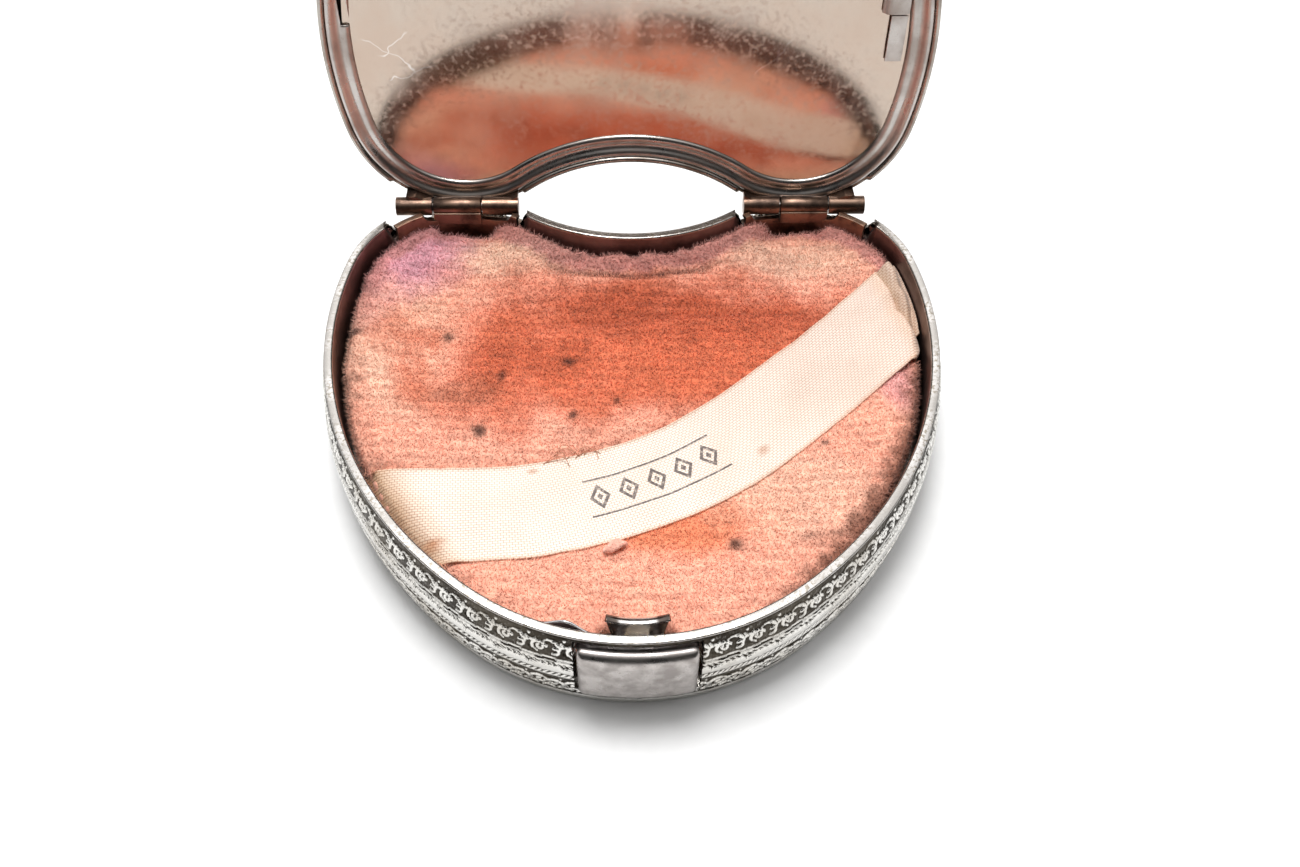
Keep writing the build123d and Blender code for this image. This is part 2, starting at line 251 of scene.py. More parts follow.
def cut(piece, cutters):
    """Cuts closed shapes out of a piece and deletes them."""
    for cutter in cutters:
        change = piece.modifiers.new("cut", "BOOLEAN")
        change.operation, change.solver, change.object = "DIFFERENCE", "EXACT", cutter
        settled(piece)
        bpy.data.objects.remove(cutter)
    return piece


def block(name, corners_low, corners_high, material, placed=None, steps=(1, 1, 1)):
    """A box between two corners, cut into steps so that it can be bent by placed."""
    work = bmesh.new()
    bmesh.ops.create_cube(work, size=1)
    for axis, count in enumerate(steps):
        for i in range(1, count):
            plane = [0, 0, 0]
            plane[axis] = i / count - 0.5
            normal = [0, 0, 0]
            normal[axis] = 1
            every = work.verts[:] + work.edges[:] + work.faces[:]
            bmesh.ops.bisect_plane(work, geom=every, plane_co=plane, plane_no=normal)
    low, high = np.array(corners_low, float), np.array(corners_high, float)
    points = np.array([v.co for v in work.verts]) * (high - low) + (high + low) / 2
    if placed is not None:
        points = placed(points)
    work.verts.index_update()
    faces = [tuple(v.index for v in face.verts) for face in work.faces]
    work.free()
    return mesh_piece(name, points, faces, material, recalculate=True)


def ring(name, profile, material, spacing=0.45, placed=None):
    """A closed section of (out, height) carried round the heart."""
    count = round(2 * HALF / spacing)
    s = np.repeat(np.linspace(-HALF, HALF, count, endpoint=False), len(profile))
    out, z = (np.tile(column, count) for column in np.array(profile, float).T)
    points = along_rim(s, out, z)
    if placed is not None:
        points = placed(points)
    faces = grid_faces(count, len(profile), wrap_rows=True, wrap_columns=True)
    return mesh_piece(name, points, faces, material, recalculate=True)


def rounded(corners, radius, steps=5):
    """A closed section's corners, each rounded by its own radius."""
    corners = [np.array(c, float) for c in corners]
    radii = radius if isinstance(radius, (list, tuple)) else [radius] * len(corners)
    drawn = []
    for i, corner in enumerate(corners):
        before, after = corners[i - 1] - corner, corners[(i + 1) % len(corners)] - corner
        reach = min(radii[i], np.linalg.norm(before) * 0.45, np.linalg.norm(after) * 0.45)
        start = corner + before / np.linalg.norm(before) * reach
        end = corner + after / np.linalg.norm(after) * reach
        for t in np.linspace(0, 1, steps if reach > 0 else 1):
            drawn.append((1 - t) ** 2 * start + 2 * t * (1 - t) * corner + t * t * end)
    return drawn


def hand_over(piece, body, slot, *nodes):
    """Puts a finished piece on its body, in place of the CAD nodes that it stands for."""
    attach(piece, body)
    if nodes:
        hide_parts(*nodes)
    return piece


# Finishes --------------------------------------------------------------------------------------

class Finish:
    """The node tree of one material. Pattern sizes are in millimetres."""

    def __init__(self, name, roughness=0.5, metallic=0.0, **constants):
        self.material = bpy.data.materials.new(name)
        self.material.use_nodes = True
        self.tree = self.material.node_tree
        self.shader = self.tree.nodes["Principled BSDF"]
        self.shader.inputs["Roughness"].default_value = roughness
        self.shader.inputs["Metallic"].default_value = metallic
        for label, value in constants.items():
            self.shader.inputs[label.replace("_", " ")].default_value = value
        self.where = self.add("ShaderNodeTexCoord").outputs["Object"]

    def add(self, kind, **settings):
        node = self.tree.nodes.new(kind)
        for key, value in settings.items():
            setattr(node, key, value)
        return node

    def feed(self, socket, value):
        if isinstance(value, bpy.types.NodeSocket):
            self.tree.links.new(value, socket)
        elif value is not None:
            socket.default_value = value

    def noise(self, size, detail=3.0, stretch=(1, 1, 1), roughness=0.55, shift=0.0, where=None):
        place = self.add("ShaderNodeMapping")
        self.feed(place.inputs["Vector"], where or self.where)
        place.inputs["Scale"].default_value = stretch
        place.inputs["Location"].default_value = (shift, shift, shift)
        pattern = self.add("ShaderNodeTexNoise")
        self.feed(pattern.inputs["Vector"], place.outputs["Vector"])
        pattern.inputs["Scale"].default_value = 1 / (size * MM)
        pattern.inputs["Detail"].default_value = detail
        pattern.inputs["Roughness"].default_value = roughness
        return pattern.outputs["Fac"]

    def maths(self, operation, a, b=None, clamp=False):
        node = self.add("ShaderNodeMath", operation=operation, use_clamp=clamp)
        self.feed(node.inputs[0], a)
        self.feed(node.inputs[1], b)
        return node.outputs[0]

    def span(self, value, low, high, to_low=0.0, to_high=1.0):
        """Maps a range smoothly to another."""
        node = self.add("ShaderNodeMapRange", interpolation_type="SMOOTHSTEP")
        for socket, given in zip(node.inputs[:5], (value, low, high, to_low, to_high)):
            self.feed(socket, given)
        return node.outputs[0]

    def mix(self, share, a, b, blend="MIX"):
        node = self.add("ShaderNodeMix", data_type="RGBA", blend_type=blend)
        self.feed(node.inputs["Factor"], share)
        for socket, given in ((node.inputs[6], a), (node.inputs[7], b)):
            self.feed(socket, (*given, 1.0) if isinstance(given, tuple) else given)
        return node.outputs[2]

    def attribute(self, name, part="Fac"):
        return self.add("ShaderNodeAttribute", attribute_name=name).outputs[part]

    def bump(self, height, distance, strength=1.0):
        node = self.add("ShaderNodeBump")
        node.inputs["Strength"].default_value = strength
        node.inputs["Distance"].default_value = distance * MM
        self.feed(node.inputs["Height"], height)
        return node.outputs["Normal"]

    def product(self, *factors):
        """All the factors multiplied."""
        result = factors[0]
        for factor in factors[1:]:
            result = self.maths("MULTIPLY", result, factor)
        return result

    def axes(self, vector=None):
        """The parts of a vector, or of the place on the object."""
        node = self.add("ShaderNodeSeparateXYZ")
        self.feed(node.inputs[0], vector or self.where)
        return node.outputs

    def scratch(self, start, end, width):
        """A thin wandering line between two places, (x, z) in millimetres."""
        place = self.axes()
        run = math.hypot(end[0] - start[0], end[1] - start[1])
        way_x, way_z = (end[0] - start[0]) / run, (end[1] - start[1]) / run
        x = self.maths("SUBTRACT", place["X"], start[0] * MM)
        z = self.maths("SUBTRACT", place["Z"], start[1] * MM)
        along = self.maths("ADD", self.product(x, way_x), self.product(z, way_z))
        across = self.maths("SUBTRACT", self.product(z, way_x), self.product(x, way_z))
        wander = self.maths("SUBTRACT", self.noise(2.5, 2, shift=run), 0.5)
        off = self.maths("ABSOLUTE", self.maths("ADD", across, self.product(wander, 2.2 * MM)))
        near = self.span(off, width * MM, 0.3 * width * MM)
        begun = self.span(along, 0.0, 0.6 * MM)
        ended = self.span(along, run * MM, (run - 1) * MM)
        return self.product(near, self.product(begun, ended), 0.6)

    def lozenges(self, length, across):
        """Five outlined lozenges in a row between two thin rules, 1 where they are printed."""
        reach, step, tall, wide, rule_place = 6.6, 2.7, 1.35, 0.95, 1.95
        from_middle = self.maths("ABSOLUTE", self.maths("SUBTRACT", length, PRINT_PLACE))
        in_row = self.maths("LESS_THAN", from_middle, reach)
        beside = self.maths("ABSOLUTE", self.maths("PINGPONG", from_middle, step / 2))
        up = self.maths("ABSOLUTE", across)
        size = self.maths("ADD", self.maths("DIVIDE", beside, wide), self.maths("DIVIDE", up, tall))
        outline = self.product(self.span(size, 1.06, 0.96), self.span(size, 0.58, 0.68))
        heart = self.span(size, 0.34, 0.24)
        rule = self.span(self.maths("ABSOLUTE", self.maths("SUBTRACT", up, rule_place)), 0.13, 0.07)
        drawn = self.maths("MAXIMUM", self.maths("MAXIMUM", outline, heart), rule)
        return self.product(drawn, in_row)

    def use(self, **links):
        for label, value in links.items():
            self.feed(self.shader.inputs[label.replace("_", " ")], value)
        return self.material


def worn_metal(name, bright, dark, roughness, tarnish=0.5, scratches=0.4, patches=4.0):
    """Sheet metal with cloudy tarnish, small pits and fine scratches."""
    f = Finish(name, metallic=1.0)
    cloud = f.noise(patches, 5)
    speck = f.noise(0.25, 2, shift=3.0)
    lines = f.noise(0.12, 2, stretch=(0.12, 1, 1), shift=1.0)
    share = f.product(f.span(cloud, 0.42, 0.68), tarnish)
    pits = f.product(f.span(speck, 0.64, 0.72), 0.6 * tarnish)
    colour = f.mix(f.maths("ADD", share, pits, clamp=True), bright, dark)
    rough = f.span(cloud, 0.3, 0.7, roughness, roughness + 0.18)
    height = f.maths("ADD", f.product(lines, scratches), speck)
    return f.use(Base_Color=colour, Roughness=rough, Normal=f.bump(height, 0.012, 0.5))


def make_embossed():
    """Die-stamped strip: bright high parts, dark oxide left in the recesses."""
    f = Finish("embossed_nickel", metallic=1.0)
    relief = f.attribute("relief")
    grime = f.noise(0.35, 4)
    cloud = f.noise(6.0, 4, shift=2.0)
    level = f.maths("ADD", relief, f.product(f.maths("SUBTRACT", grime, 0.5), 0.35))
    high = f.span(level, 0.36, 0.70)
    dark = f.mix(f.span(cloud, 0.35, 0.65), (0.028, 0.022, 0.016), (0.085, 0.072, 0.055))
    bright = f.mix(f.span(cloud, 0.4, 0.7), (0.80, 0.785, 0.75), (0.60, 0.57, 0.52))
    colour = f.mix(high, dark, bright)
    rough = f.span(level, 0.2, 0.75, 0.5, 0.17)
    return f.use(Base_Color=colour, Roughness=rough, Normal=f.bump(grime, 0.03, 0.5))


# Ends of the long scratches in the mirror, each as (x, z) on the open lid
MIRROR_SCRATCHES = (
    ((-25.4, 27.2), (-20.2, 23.4)), ((-24.0, 25.0), (-20.8, 27.8)), ((-23.5, 22.5), (-18.5, 24.6)),
    ((-9.0, 26.5), (-3.5, 27.6)), ((12.0, 23.0), (15.5, 27.0)),
)


def make_mirror():
    """Old silvered glass: clouded, with scratches and specks."""
    f = Finish("clouded_mirror", metallic=1.0)
    cloud = f.noise(7.0, 6, roughness=0.65)
    fine = f.noise(0.5, 4, shift=2.0)
    scratch = f.noise(1.1, 2, stretch=(1, 0.15, 0.15), shift=5.0)
    fog = f.span(cloud, 0.35, 0.75)
    colour = f.mix(fog, (0.53, 0.42, 0.345), (0.60, 0.515, 0.44))
    line = f.product(f.span(scratch, 0.735, 0.76), 0.4)
    for start, end in MIRROR_SCRATCHES:
        line = f.maths("MAXIMUM", line, f.scratch(start, end, 0.07))
    colour = f.mix(line, colour, (0.86, 0.82, 0.79))
    haze = f.product(f.span(fine, 0.45, 0.75), 0.12)
    rough = f.maths("ADD", f.span(fog, 0.0, 1.0, 0.08, 0.16), haze)
    metal = f.span(fog, 0.0, 1.0, 0.93, 0.84)
    return f.use(Base_Color=colour, Roughness=rough, Metallic=metal)


def make_velour():
    """Dyed pile cloth. Its stains come from the piece's tint, the fine grain is added here, and the tips
    of the hairs are lightened as painted light.
    """
    f = Finish("coral_velour", roughness=0.95, Sheen_Weight=0.25, Sheen_Roughness=0.5)
    tint = f.attribute("tint", "Color")
    # Tips of the hairs lightened by up to 0.3: painted light.
    tip = f.span(f.attribute("tip"), 0.0, 1.0, 0.0, 0.3)
    mottle = f.noise(0.7, 5)
    grain = f.noise(0.2, 3, stretch=(0.8, 1, 1), shift=4.0)
    rows = f.noise(1.0, 3, stretch=(0.3, 1.2, 1), shift=6.0)
    shade = f.maths("ADD", f.span(mottle, 0.3, 0.7, 0.88, 1.09), f.span(grain, 0.3, 0.7, -0.10, 0.06))
    shade = f.maths("ADD", shade, f.span(rows, 0.35, 0.65, -0.07, 0.05))
    shade = f.maths("ADD", shade, tip)
    scaled = f.add("ShaderNodeVectorMath", operation="SCALE")
    f.feed(scaled.inputs[0], tint)
    f.feed(scaled.inputs["Scale"], shade)
    height = f.maths("ADD", grain, f.product(mottle, 0.8))
    f.shader.inputs["Sheen Tint"].default_value = (1.0, 0.86, 0.8, 1)
    return f.use(Base_Color=scaled.outputs[0], Normal=f.bump(height, 0.12, 0.6))


PRINT_PLACE = 28.6  # middle of the printed row along the strap


def make_satin():
    """Woven strap: short floats in staggered rows along its length, and a printed row of lozenges."""
    f = Finish("cream_satin", roughness=0.5, Sheen_Weight=0.3, Sheen_Roughness=0.35)
    float_length, row_width = 0.46, 0.25
    length, across, printed = f.axes(f.attribute("strap", "Vector"))
    row = f.maths("DIVIDE", across, row_width)
    stagger = f.product(f.maths("FLOOR", row), 0.5)
    float_place = f.maths("FRACT", f.maths("ADD", f.maths("DIVIDE", length, float_length), stagger))
    row_place = f.maths("FRACT", row)
    gap = f.product(f.span(float_place, 0.0, 0.14), f.span(float_place, 1.0, 0.86))
    groove = f.product(f.span(row_place, 0.0, 0.3), f.span(row_place, 1.0, 0.7))
    thread = f.product(f.span(gap, 0, 1, 0.35, 1), f.span(groove, 0, 1, 0.45, 1))
    age = f.noise(4.5, 4)
    base = f.mix(f.span(age, 0.35, 0.7), (1.0, 0.965, 0.93), (0.955, 0.90, 0.85))
    worn = f.mix(1.0, base, f.attribute("tint", "Color"), "MULTIPLY")
    woven = f.mix(f.span(thread, 0.15, 0.85), (0.66, 0.44, 0.34), (1, 1, 1))
    colour = f.mix(1.0, worn, woven, "MULTIPLY")
    patchy = f.span(f.noise(0.3, 3, shift=2.0), 0.3, 0.55, 0.5, 0.92)
    ink = f.product(printed, f.lozenges(length, across), patchy)
    colour = f.mix(ink, colour, (0.075, 0.055, 0.055))
    return f.use(Base_Color=colour, Normal=f.bump(thread, 0.06, 0.8))


def make_button_steel():
    """Satin face rubbed by fingers, with small dark specks."""
    f = Finish("satin_steel", metallic=1.0)
    rub = f.noise(1.6, 5)
    fine = f.noise(0.14, 3, stretch=(0.35, 1, 1), shift=2.0)
    speck = f.noise(0.3, 2, shift=7.0)
    colour = f.mix(f.span(rub, 0.35, 0.65), (0.52, 0.485, 0.465), (0.33, 0.30, 0.285))
    colour = f.mix(f.product(f.span(speck, 0.66, 0.72), 0.5), colour, (0.2, 0.16, 0.13))
    rough = f.span(rub, 0.3, 0.7, 0.24, 0.4)
    return f.use(Base_Color=colour, Roughness=rough, Normal=f.bump(fine, 0.012, 0.5))


def make_catch_painted_light_metal():
    """Bright across its middle, a painted highlight, and dark on its flared sides, painted shade."""
    f = Finish("catch_nickel_painted_light", metallic=1.0)
    speck = f.noise(0.5, 4)
    across = f.maths("ADD", f.maths("ABSOLUTE", f.axes()["X"]), f.product(speck, 0.5 * MM))
    # Painted shade on the flared sides and a painted highlight across the middle, by the distance from the
    # middle.
    sides = f.span(across, 1.5 * MM, 2.0 * MM)
    colour = f.mix(sides, (0.93, 0.90, 0.88), (0.16, 0.13, 0.115))
    return f.use(Base_Color=colour, Roughness=f.span(speck, 0.3, 0.7, 0.12, 0.24))


def make_matt(name, light, dark, size, roughness=0.9, grain=0.2, depth=0.04):
    f = Finish(name, roughness=roughness)
    colour = f.mix(f.span(f.noise(size, 5), 0.35, 0.65), light, dark)
    return f.use(Base_Color=colour, Normal=f.bump(f.noise(grain, 4, shift=3.0), depth, 0.6))


def make_collar_metal():
    """The rim is rubbed bright, and the wall inside it is dark with tarnish."""
    f = Finish("collar_nickel", metallic=1.0)
    cloud = f.noise(3.0, 5)
    speck = f.noise(0.35, 3, shift=3.0)
    wall = f.mix(f.span(cloud, 0.3, 0.7), (0.27, 0.20, 0.185), (0.15, 0.105, 0.095))
    rubbed = f.mix(f.span(speck, 0.45, 0.65), (0.50, 0.48, 0.465), (0.27, 0.24, 0.20))
    rubbed = f.mix(f.span(cloud, 0.42, 0.6), rubbed, (0.37, 0.35, 0.33))
    top = f.span(f.axes()["Z"], (RIM_Z - 0.32) * MM, (RIM_Z - 0.1) * MM)
    rough = f.span(top, 0.0, 1.0, 0.42, 0.26)
    return f.use(Base_Color=f.mix(top, wall, rubbed), Roughness=rough,
                 Normal=f.bump(speck, 0.02, 0.5))


EMBOSSED = make_embossed()
COLLAR_METAL = make_collar_metal()
SHELL_METAL = worn_metal("plain_nickel", (0.44, 0.405, 0.37), (0.19, 0.145, 0.11), 0.2, 0.7)
BEZEL_METAL = worn_metal("bezel_nickel", (0.50, 0.465, 0.44), (0.29, 0.235, 0.20), 0.22, 0.6)
HINGE_METAL = worn_metal("hinge_nickel", (0.26, 0.17, 0.125), (0.05, 0.035, 0.03), 0.28, 0.8, 1.0, 2.0)
PIN_METAL = worn_metal("steel_pin", (0.34, 0.31, 0.29), (0.12, 0.085, 0.07), 0.3, 0.7)
SPRING_METAL = worn_metal("spring_strip", (0.72, 0.72, 0.74), (0.4, 0.38, 0.37), 0.2, 0.3)
BRASS = worn_metal("brass_sheet", (0.72, 0.56, 0.28), (0.36, 0.24, 0.1), 0.28, 0.6)
BUTTON_METAL = make_button_steel()
CATCH_METAL_PAINTED_LIGHT = make_catch_painted_light_metal()
MIRROR = make_mirror()
VELOUR = make_velour()
SATIN = make_satin()
POWDER = make_matt("pressed_powder", (0.83, 0.62, 0.49), (0.72, 0.5, 0.38), 3.0)
CARD = make_matt("grey_card", (0.42, 0.39, 0.35), (0.33, 0.30, 0.27), 1.5)


# Side band -------------------------------------------------------------------------------------

BAND_UNITS = 31  # on each half
PITCH = HALF / BAND_UNITS
UNIT_COLUMNS, BAND_ROWS = 40, 78
BAND_TOP, BAND_ROLL = RIM_Z - RIM_FLANGE, 0.4
RELIEF_DEPTH = 0.30
BUTTON_LOW, BUTTON_HIGH = box_of("latch_button")
WINDOW_X = BUTTON_HIGH[0] + 0.35
WINDOW_LOW, WINDOW_HIGH = BUTTON_LOW[2] - 0.2, BUTTON_HIGH[2] + 0.35
KNUCKLE_LOW, KNUCKLE_HIGH = box_of("hinge_right_lid_knuckles")
NOTCH_NEAR, NOTCH_FAR = KNUCKLE_LOW[0] - 0.5, KNUCKLE_HIGH[0] + 0.3
NOTCH_Z, NOTCH_SPREAD = 7.8, 0.7 / 3.2


def arc_ridge(s, h, centre, radius, start, end, width):
    """A rounded ridge along part of a circle, 1 at its crest. Angles are in degrees."""
    dx, dy = s - centre[0], h - centre[1]
    middle, half = (start + end) / 2, (end - start) / 2
    turn = (np.degrees(np.arctan2(dy, dx)) - middle + 180) % 360 - 180
    turn = np.radians(middle + np.clip(turn, -half, half))
    off = np.hypot(dx - radius * np.cos(turn), dy - radius * np.sin(turn))
    return np.sqrt(np.clip(1 - (2 * off / width) ** 2, 0, 1))


def oval(s, h, centre, length, height, turn=0.0):
    """A rounded lump, 1 at its middle."""
    c, k = math.cos(math.radians(turn)), math.sin(math.radians(turn))
    dx, dy = s - centre[0], h - centre[1]
    across, up = (dx * c + dy * k) / (length / 2), (dy * c - dx * k) / (height / 2)
    return np.sqrt(np.clip(1 - across ** 2 - up ** 2, 0, 1))


# Scroll of the upper row and of the lower row: centre, radius, first and last angle, width
UPPER_SCROLL = (
    ((0.95, 7.95), 0.62, 20, 250, 0.30),
    ((1.02, 8.0), 0.26, 120, 400, 0.24),
    ((1.9, 8.15), 0.78, -10, 150, 0.26),
    ((2.25, 7.75), 0.36, -120, 110, 0.24),
    ((0.2, 8.95), 0.42, 200, 330, 0.22),
    ((2.75, 8.85), 0.45, 190, 300, 0.2),
)
LOWER_SCROLL = (
    ((0.75, 2.55), 0.75, 30, 260, 0.28),
    ((0.85, 2.45), 0.34, 90, 380, 0.24),
    ((2.05, 2.35), 0.72, -70, 160, 0.28),
    ((1.95, 2.55), 0.32, 150, 420, 0.22),
    ((1.45, 1.25), 0.55, 15, 165, 0.24),
    ((0.05, 1.35), 0.5, 20, 160, 0.22),
)


def band_relief(s, h):
    """Height of the stamped pattern, 0 to 1, over one unit of the strip."""
    half = PITCH / 2
    stipple = 0.5 + 0.5 * np.sin(23 * s + 5 * np.sin(9 * h)) * np.sin(21 * h + 4 * np.sin(11 * s))
    field = 0.30 + 0.12 * stipple
    for shift in (-PITCH, 0, PITCH):
        x = s + shift
        for centre, radius, start, end, width in UPPER_SCROLL + LOWER_SCROLL:
            ridge = arc_ridge(x, h, centre, radius, start, end, width)
            hollow = arc_ridge(x, h, centre, radius, start, end, width * 1.9)
            field = np.where(ridge > 0, np.maximum(field, 0.45 + 0.5 * ridge), field - 0.16 * hollow)
        for eye, turn in (((1.5, 8.75), 20), ((0.35, 7.45), -25), ((1.5, 3.3), 15), ((0.1, 2.1), -30)):
            field = field - 0.42 * oval(x, h, eye, 1.0, 0.34, turn)
        for bud, size in (((0.05, 9.2), 0.34), ((1.45, 2.0), 0.3), ((2.6, 3.45), 0.28)):
            field = np.maximum(field, 0.85 * oval(x, h, bud, size, size))
    field = np.clip(field, 0.02, 1)
    wander = 0.05 * np.sin(2 * np.pi * s / PITCH + 1)
    for low, high in ((6.72, 6.84), (6.24, 6.36), (4.12, 4.27), (0.55, 0.8)):
        line = smooth(h + wander, low - 0.08, low) * smooth(-h - wander, -high - 0.08, -high)
        field = np.maximum(field, 0.85 * line)
    dash = np.maximum(np.abs(s - half) - 0.8, 0)
    groove = smooth(-np.hypot(dash, (h + wander - 6.54)), -0.17, -0.08)
    between = smooth(h + wander, 6.3, 6.38) * smooth(-h - wander, -6.78, -6.7)
    field = np.where(between > 0.5, 0.55 * (1 - groove) + 0.02, field)
    for middle, tall, lean in ((5.98, 0.40, 1), (4.48, 0.46, -1)):
        inside = np.abs(h + wander - middle) < tall / 2
        phase = (s * 6 / PITCH + lean * (h + wander - middle) / tall * 0.8) % 1
        rope = smooth(np.abs(phase - 0.5), 0.12, 0.3)
        depth = 0.08 + 0.67 * rope
        field = np.where(inside, depth, field)
    swell = 0.5 + 0.5 * np.cos(2 * np.pi * (s - half) / PITCH)
    top = 5.73 - 0.16 * np.exp(-((np.minimum(s, PITCH - s)) / 0.16) ** 2)
    bottom = 4.94 - 0.13 * swell + 0.03 * np.sin(8 * np.pi * s / PITCH)
    smooth_strip = smooth(h + wander, bottom - 0.05, bottom) * smooth(-h - wander, -top - 0.05, -top)
    notch = smooth(-np.minimum(s, PITCH - s), -0.07, -0.02) * smooth(h, 5.15, 5.4)
    field = np.where(smooth_strip > 0.5, 0.98 - 0.85 * notch, np.where(
        (h + wander > 4.72) & (h + wander < 5.8), 0.1, field))
    field = np.where(h > BAND_TOP - 0.16, 0.1, field)
    return np.where(h < 0.55, 0.9, field)


def band_bulge(h):
    """Outward place of the plain strip at each height: a rolled foot and a shallow belly."""
    low, middle = BAND_ROLL, (BAND_TOP + BAND_ROLL) / 2
    t = (h - middle) / (BAND_TOP - middle)
    base = BAND_FOOT_OUT + (BAND_TOP_OUT - BAND_FOOT_OUT) * (h - low) / (BAND_TOP - low)
    belly = base + (BAND_BELLY_OUT - (BAND_FOOT_OUT + BAND_TOP_OUT) / 2) * (1 - t ** 2)
    roll = BAND_FOOT_OUT * np.sqrt(np.clip(1 - ((low - h) / low) ** 2, 0, 1))
    return np.where(h < low, roll, belly)


def band_heights():
    foot = BAND_ROLL * (1 - np.cos(np.linspace(0, math.pi / 2, 6)))
    return np.concatenate([foot[:-1], np.linspace(BAND_ROLL, BAND_TOP, BAND_ROWS - 5)])


def band_unit():
    """One flat repeat of the strip: x along the rim, y its height, z how far it stands out."""
    s, h = np.meshgrid(np.linspace(0, PITCH, UNIT_COLUMNS + 1), band_heights(), indexing="ij")
    s, h = s.ravel(), h.ravel()
    relief = band_relief(s, h)
    sunk = RELIEF_DEPTH * (relief - 1) * smooth(h, 0.1, 0.5)
    points = np.column_stack([s, h, band_bulge(h) + sunk])
    unit = mesh_piece("band_unit", points, grid_faces(UNIT_COLUMNS + 1, len(band_heights())), EMBOSSED)
    hold_values(unit, "relief", relief)
    return unit


class Pattern:
    """A Geometry Nodes tree with named inputs, for what repeats or follows a path."""

    def __init__(self, name, **inputs):
        self.tree = bpy.data.node_groups.new(name, "GeometryNodeTree")
        face = self.tree.interface
        face.new_socket("Geometry", in_out="INPUT", socket_type="NodeSocketGeometry")
        face.new_socket("Geometry", in_out="OUTPUT", socket_type="NodeSocketGeometry")
        self.names = {}
        for label, kind in inputs.items():
            socket = face.new_socket(label, in_out="INPUT", socket_type=f"NodeSocket{kind}")
            self.names[label] = socket.identifier
        self.given = self.tree.nodes.new("NodeGroupInput").outputs
        self.result = self.tree.nodes.new("NodeGroupOutput").inputs["Geometry"]

    def add(self, kind, fed=(), **settings):
        node = self.tree.nodes.new(kind)
        for key, value in settings.items():
            setattr(node, key, value)
        for key, value in dict(fed).items():
            if isinstance(value, bpy.types.NodeSocket):
                self.tree.links.new(value, node.inputs[key])
            else:
                node.inputs[key].default_value = value
        return node.outputs

    def finish(self, geometry, material):
        """Ends the tree with real meshes that have their material."""
        real = self.add("GeometryNodeRealizeInstances", {"Geometry": geometry})["Geometry"]
        done = self.add("GeometryNodeSetMaterial", {"Geometry": real, "Material": material})
        self.tree.links.new(done["Geometry"], self.result)

    def run(self, piece, **values):
        """Runs the tree on a piece and keeps the result as its mesh."""
        change = piece.modifiers.new("pattern", "NODES")
        change.node_group = self.tree
        for label, value in values.items():
            change[self.names[label]] = value
        return settled(piece)


def band_pattern():
    """Repeats a flat unit along a line and bends the line round the rim's path."""
    p = Pattern("stamped_strip", Unit="Object", Path="Object", Count="Int", Pitch="Float", Start="Float")
    g = p.given
    step = p.add("ShaderNodeCombineXYZ", {"X": g["Pitch"]})["Vector"]
    first = p.add("ShaderNodeCombineXYZ", {"X": g["Start"]})["Vector"]
    line = p.add("GeometryNodeMeshLine", {"Count": g["Count"], "Start Location": first, "Offset": step})
    unit = p.add("GeometryNodeObjectInfo", {"Object": g["Unit"]})["Geometry"]
    copies = p.add("GeometryNodeInstanceOnPoints", {"Points": line["Mesh"], "Instance": unit})["Instances"]
    flat = p.add("GeometryNodeRealizeInstances", {"Geometry": copies})["Geometry"]
    flat = p.add("GeometryNodeMergeByDistance", {"Geometry": flat, "Distance": 2e-6})["Geometry"]
    place = p.add("GeometryNodeInputPosition")["Position"]
    flat = p.add("GeometryNodeStoreNamedAttribute",
                 {"Geometry": flat, "Name": "flat_place", "Value": place},
                 data_type="FLOAT_VECTOR", domain="POINT")["Geometry"]
    along = p.add("ShaderNodeSeparateXYZ", {"Vector": place})
    path = p.add("GeometryNodeObjectInfo", {"Object": g["Path"]})["Geometry"]
    sample = p.add("GeometryNodeSampleCurve", {"Curves": path, "Length": along["X"]}, mode="LENGTH")
    away = p.add("ShaderNodeVectorMath", {0: sample["Tangent"], 1: (0, 0, 1)},
                 operation="CROSS_PRODUCT")["Vector"]
    moved = p.add("ShaderNodeVectorMath", {0: away, "Scale": along["Z"]}, operation="SCALE")["Vector"]
    lifted = p.add("ShaderNodeCombineXYZ", {"Z": along["Y"]})["Vector"]
    moved = p.add("ShaderNodeVectorMath", {0: moved, 1: lifted}, operation="ADD")["Vector"]
    moved = p.add("ShaderNodeVectorMath", {0: moved, 1: sample["Position"]}, operation="ADD")["Vector"]
    bent = p.add("GeometryNodeSetPosition", {"Geometry": flat, "Position": moved})["Geometry"]
    p.finish(bent, EMBOSSED)
    return p


def rim_path():
    """The rim's outline as a curve, from the cleft round the left side and the tip."""
    curve = bpy.data.curves.new("rim_path", "CURVE")
    curve.dimensions = "3D"
    points = along_rim(np.linspace(-HALF, HALF, 1800, endpoint=False), 0, 0) * MM
    spline = curve.splines.new("POLY")
    spline.points.add(len(points) - 1)
    spline.points.foreach_set("co", np.column_stack([points, np.ones(len(points))]).ravel())
    spline.use_cyclic_u = True
    return new_object("rim_path", curve)


def in_openings(x, y, z):
    """True where the band is cut away: the button's window and the two hinge notches."""
    window = (y < 0) & (np.abs(x) < WINDOW_X) & (z > WINDOW_LOW) & (z < WINDOW_HIGH)
    spread = (z - NOTCH_Z) * NOTCH_SPREAD
    near, far = NOTCH_NEAR - spread, NOTCH_FAR + spread
    return window | ((y > 0) & (z > NOTCH_Z) & (np.abs(x) > near) & (np.abs(x) < far))


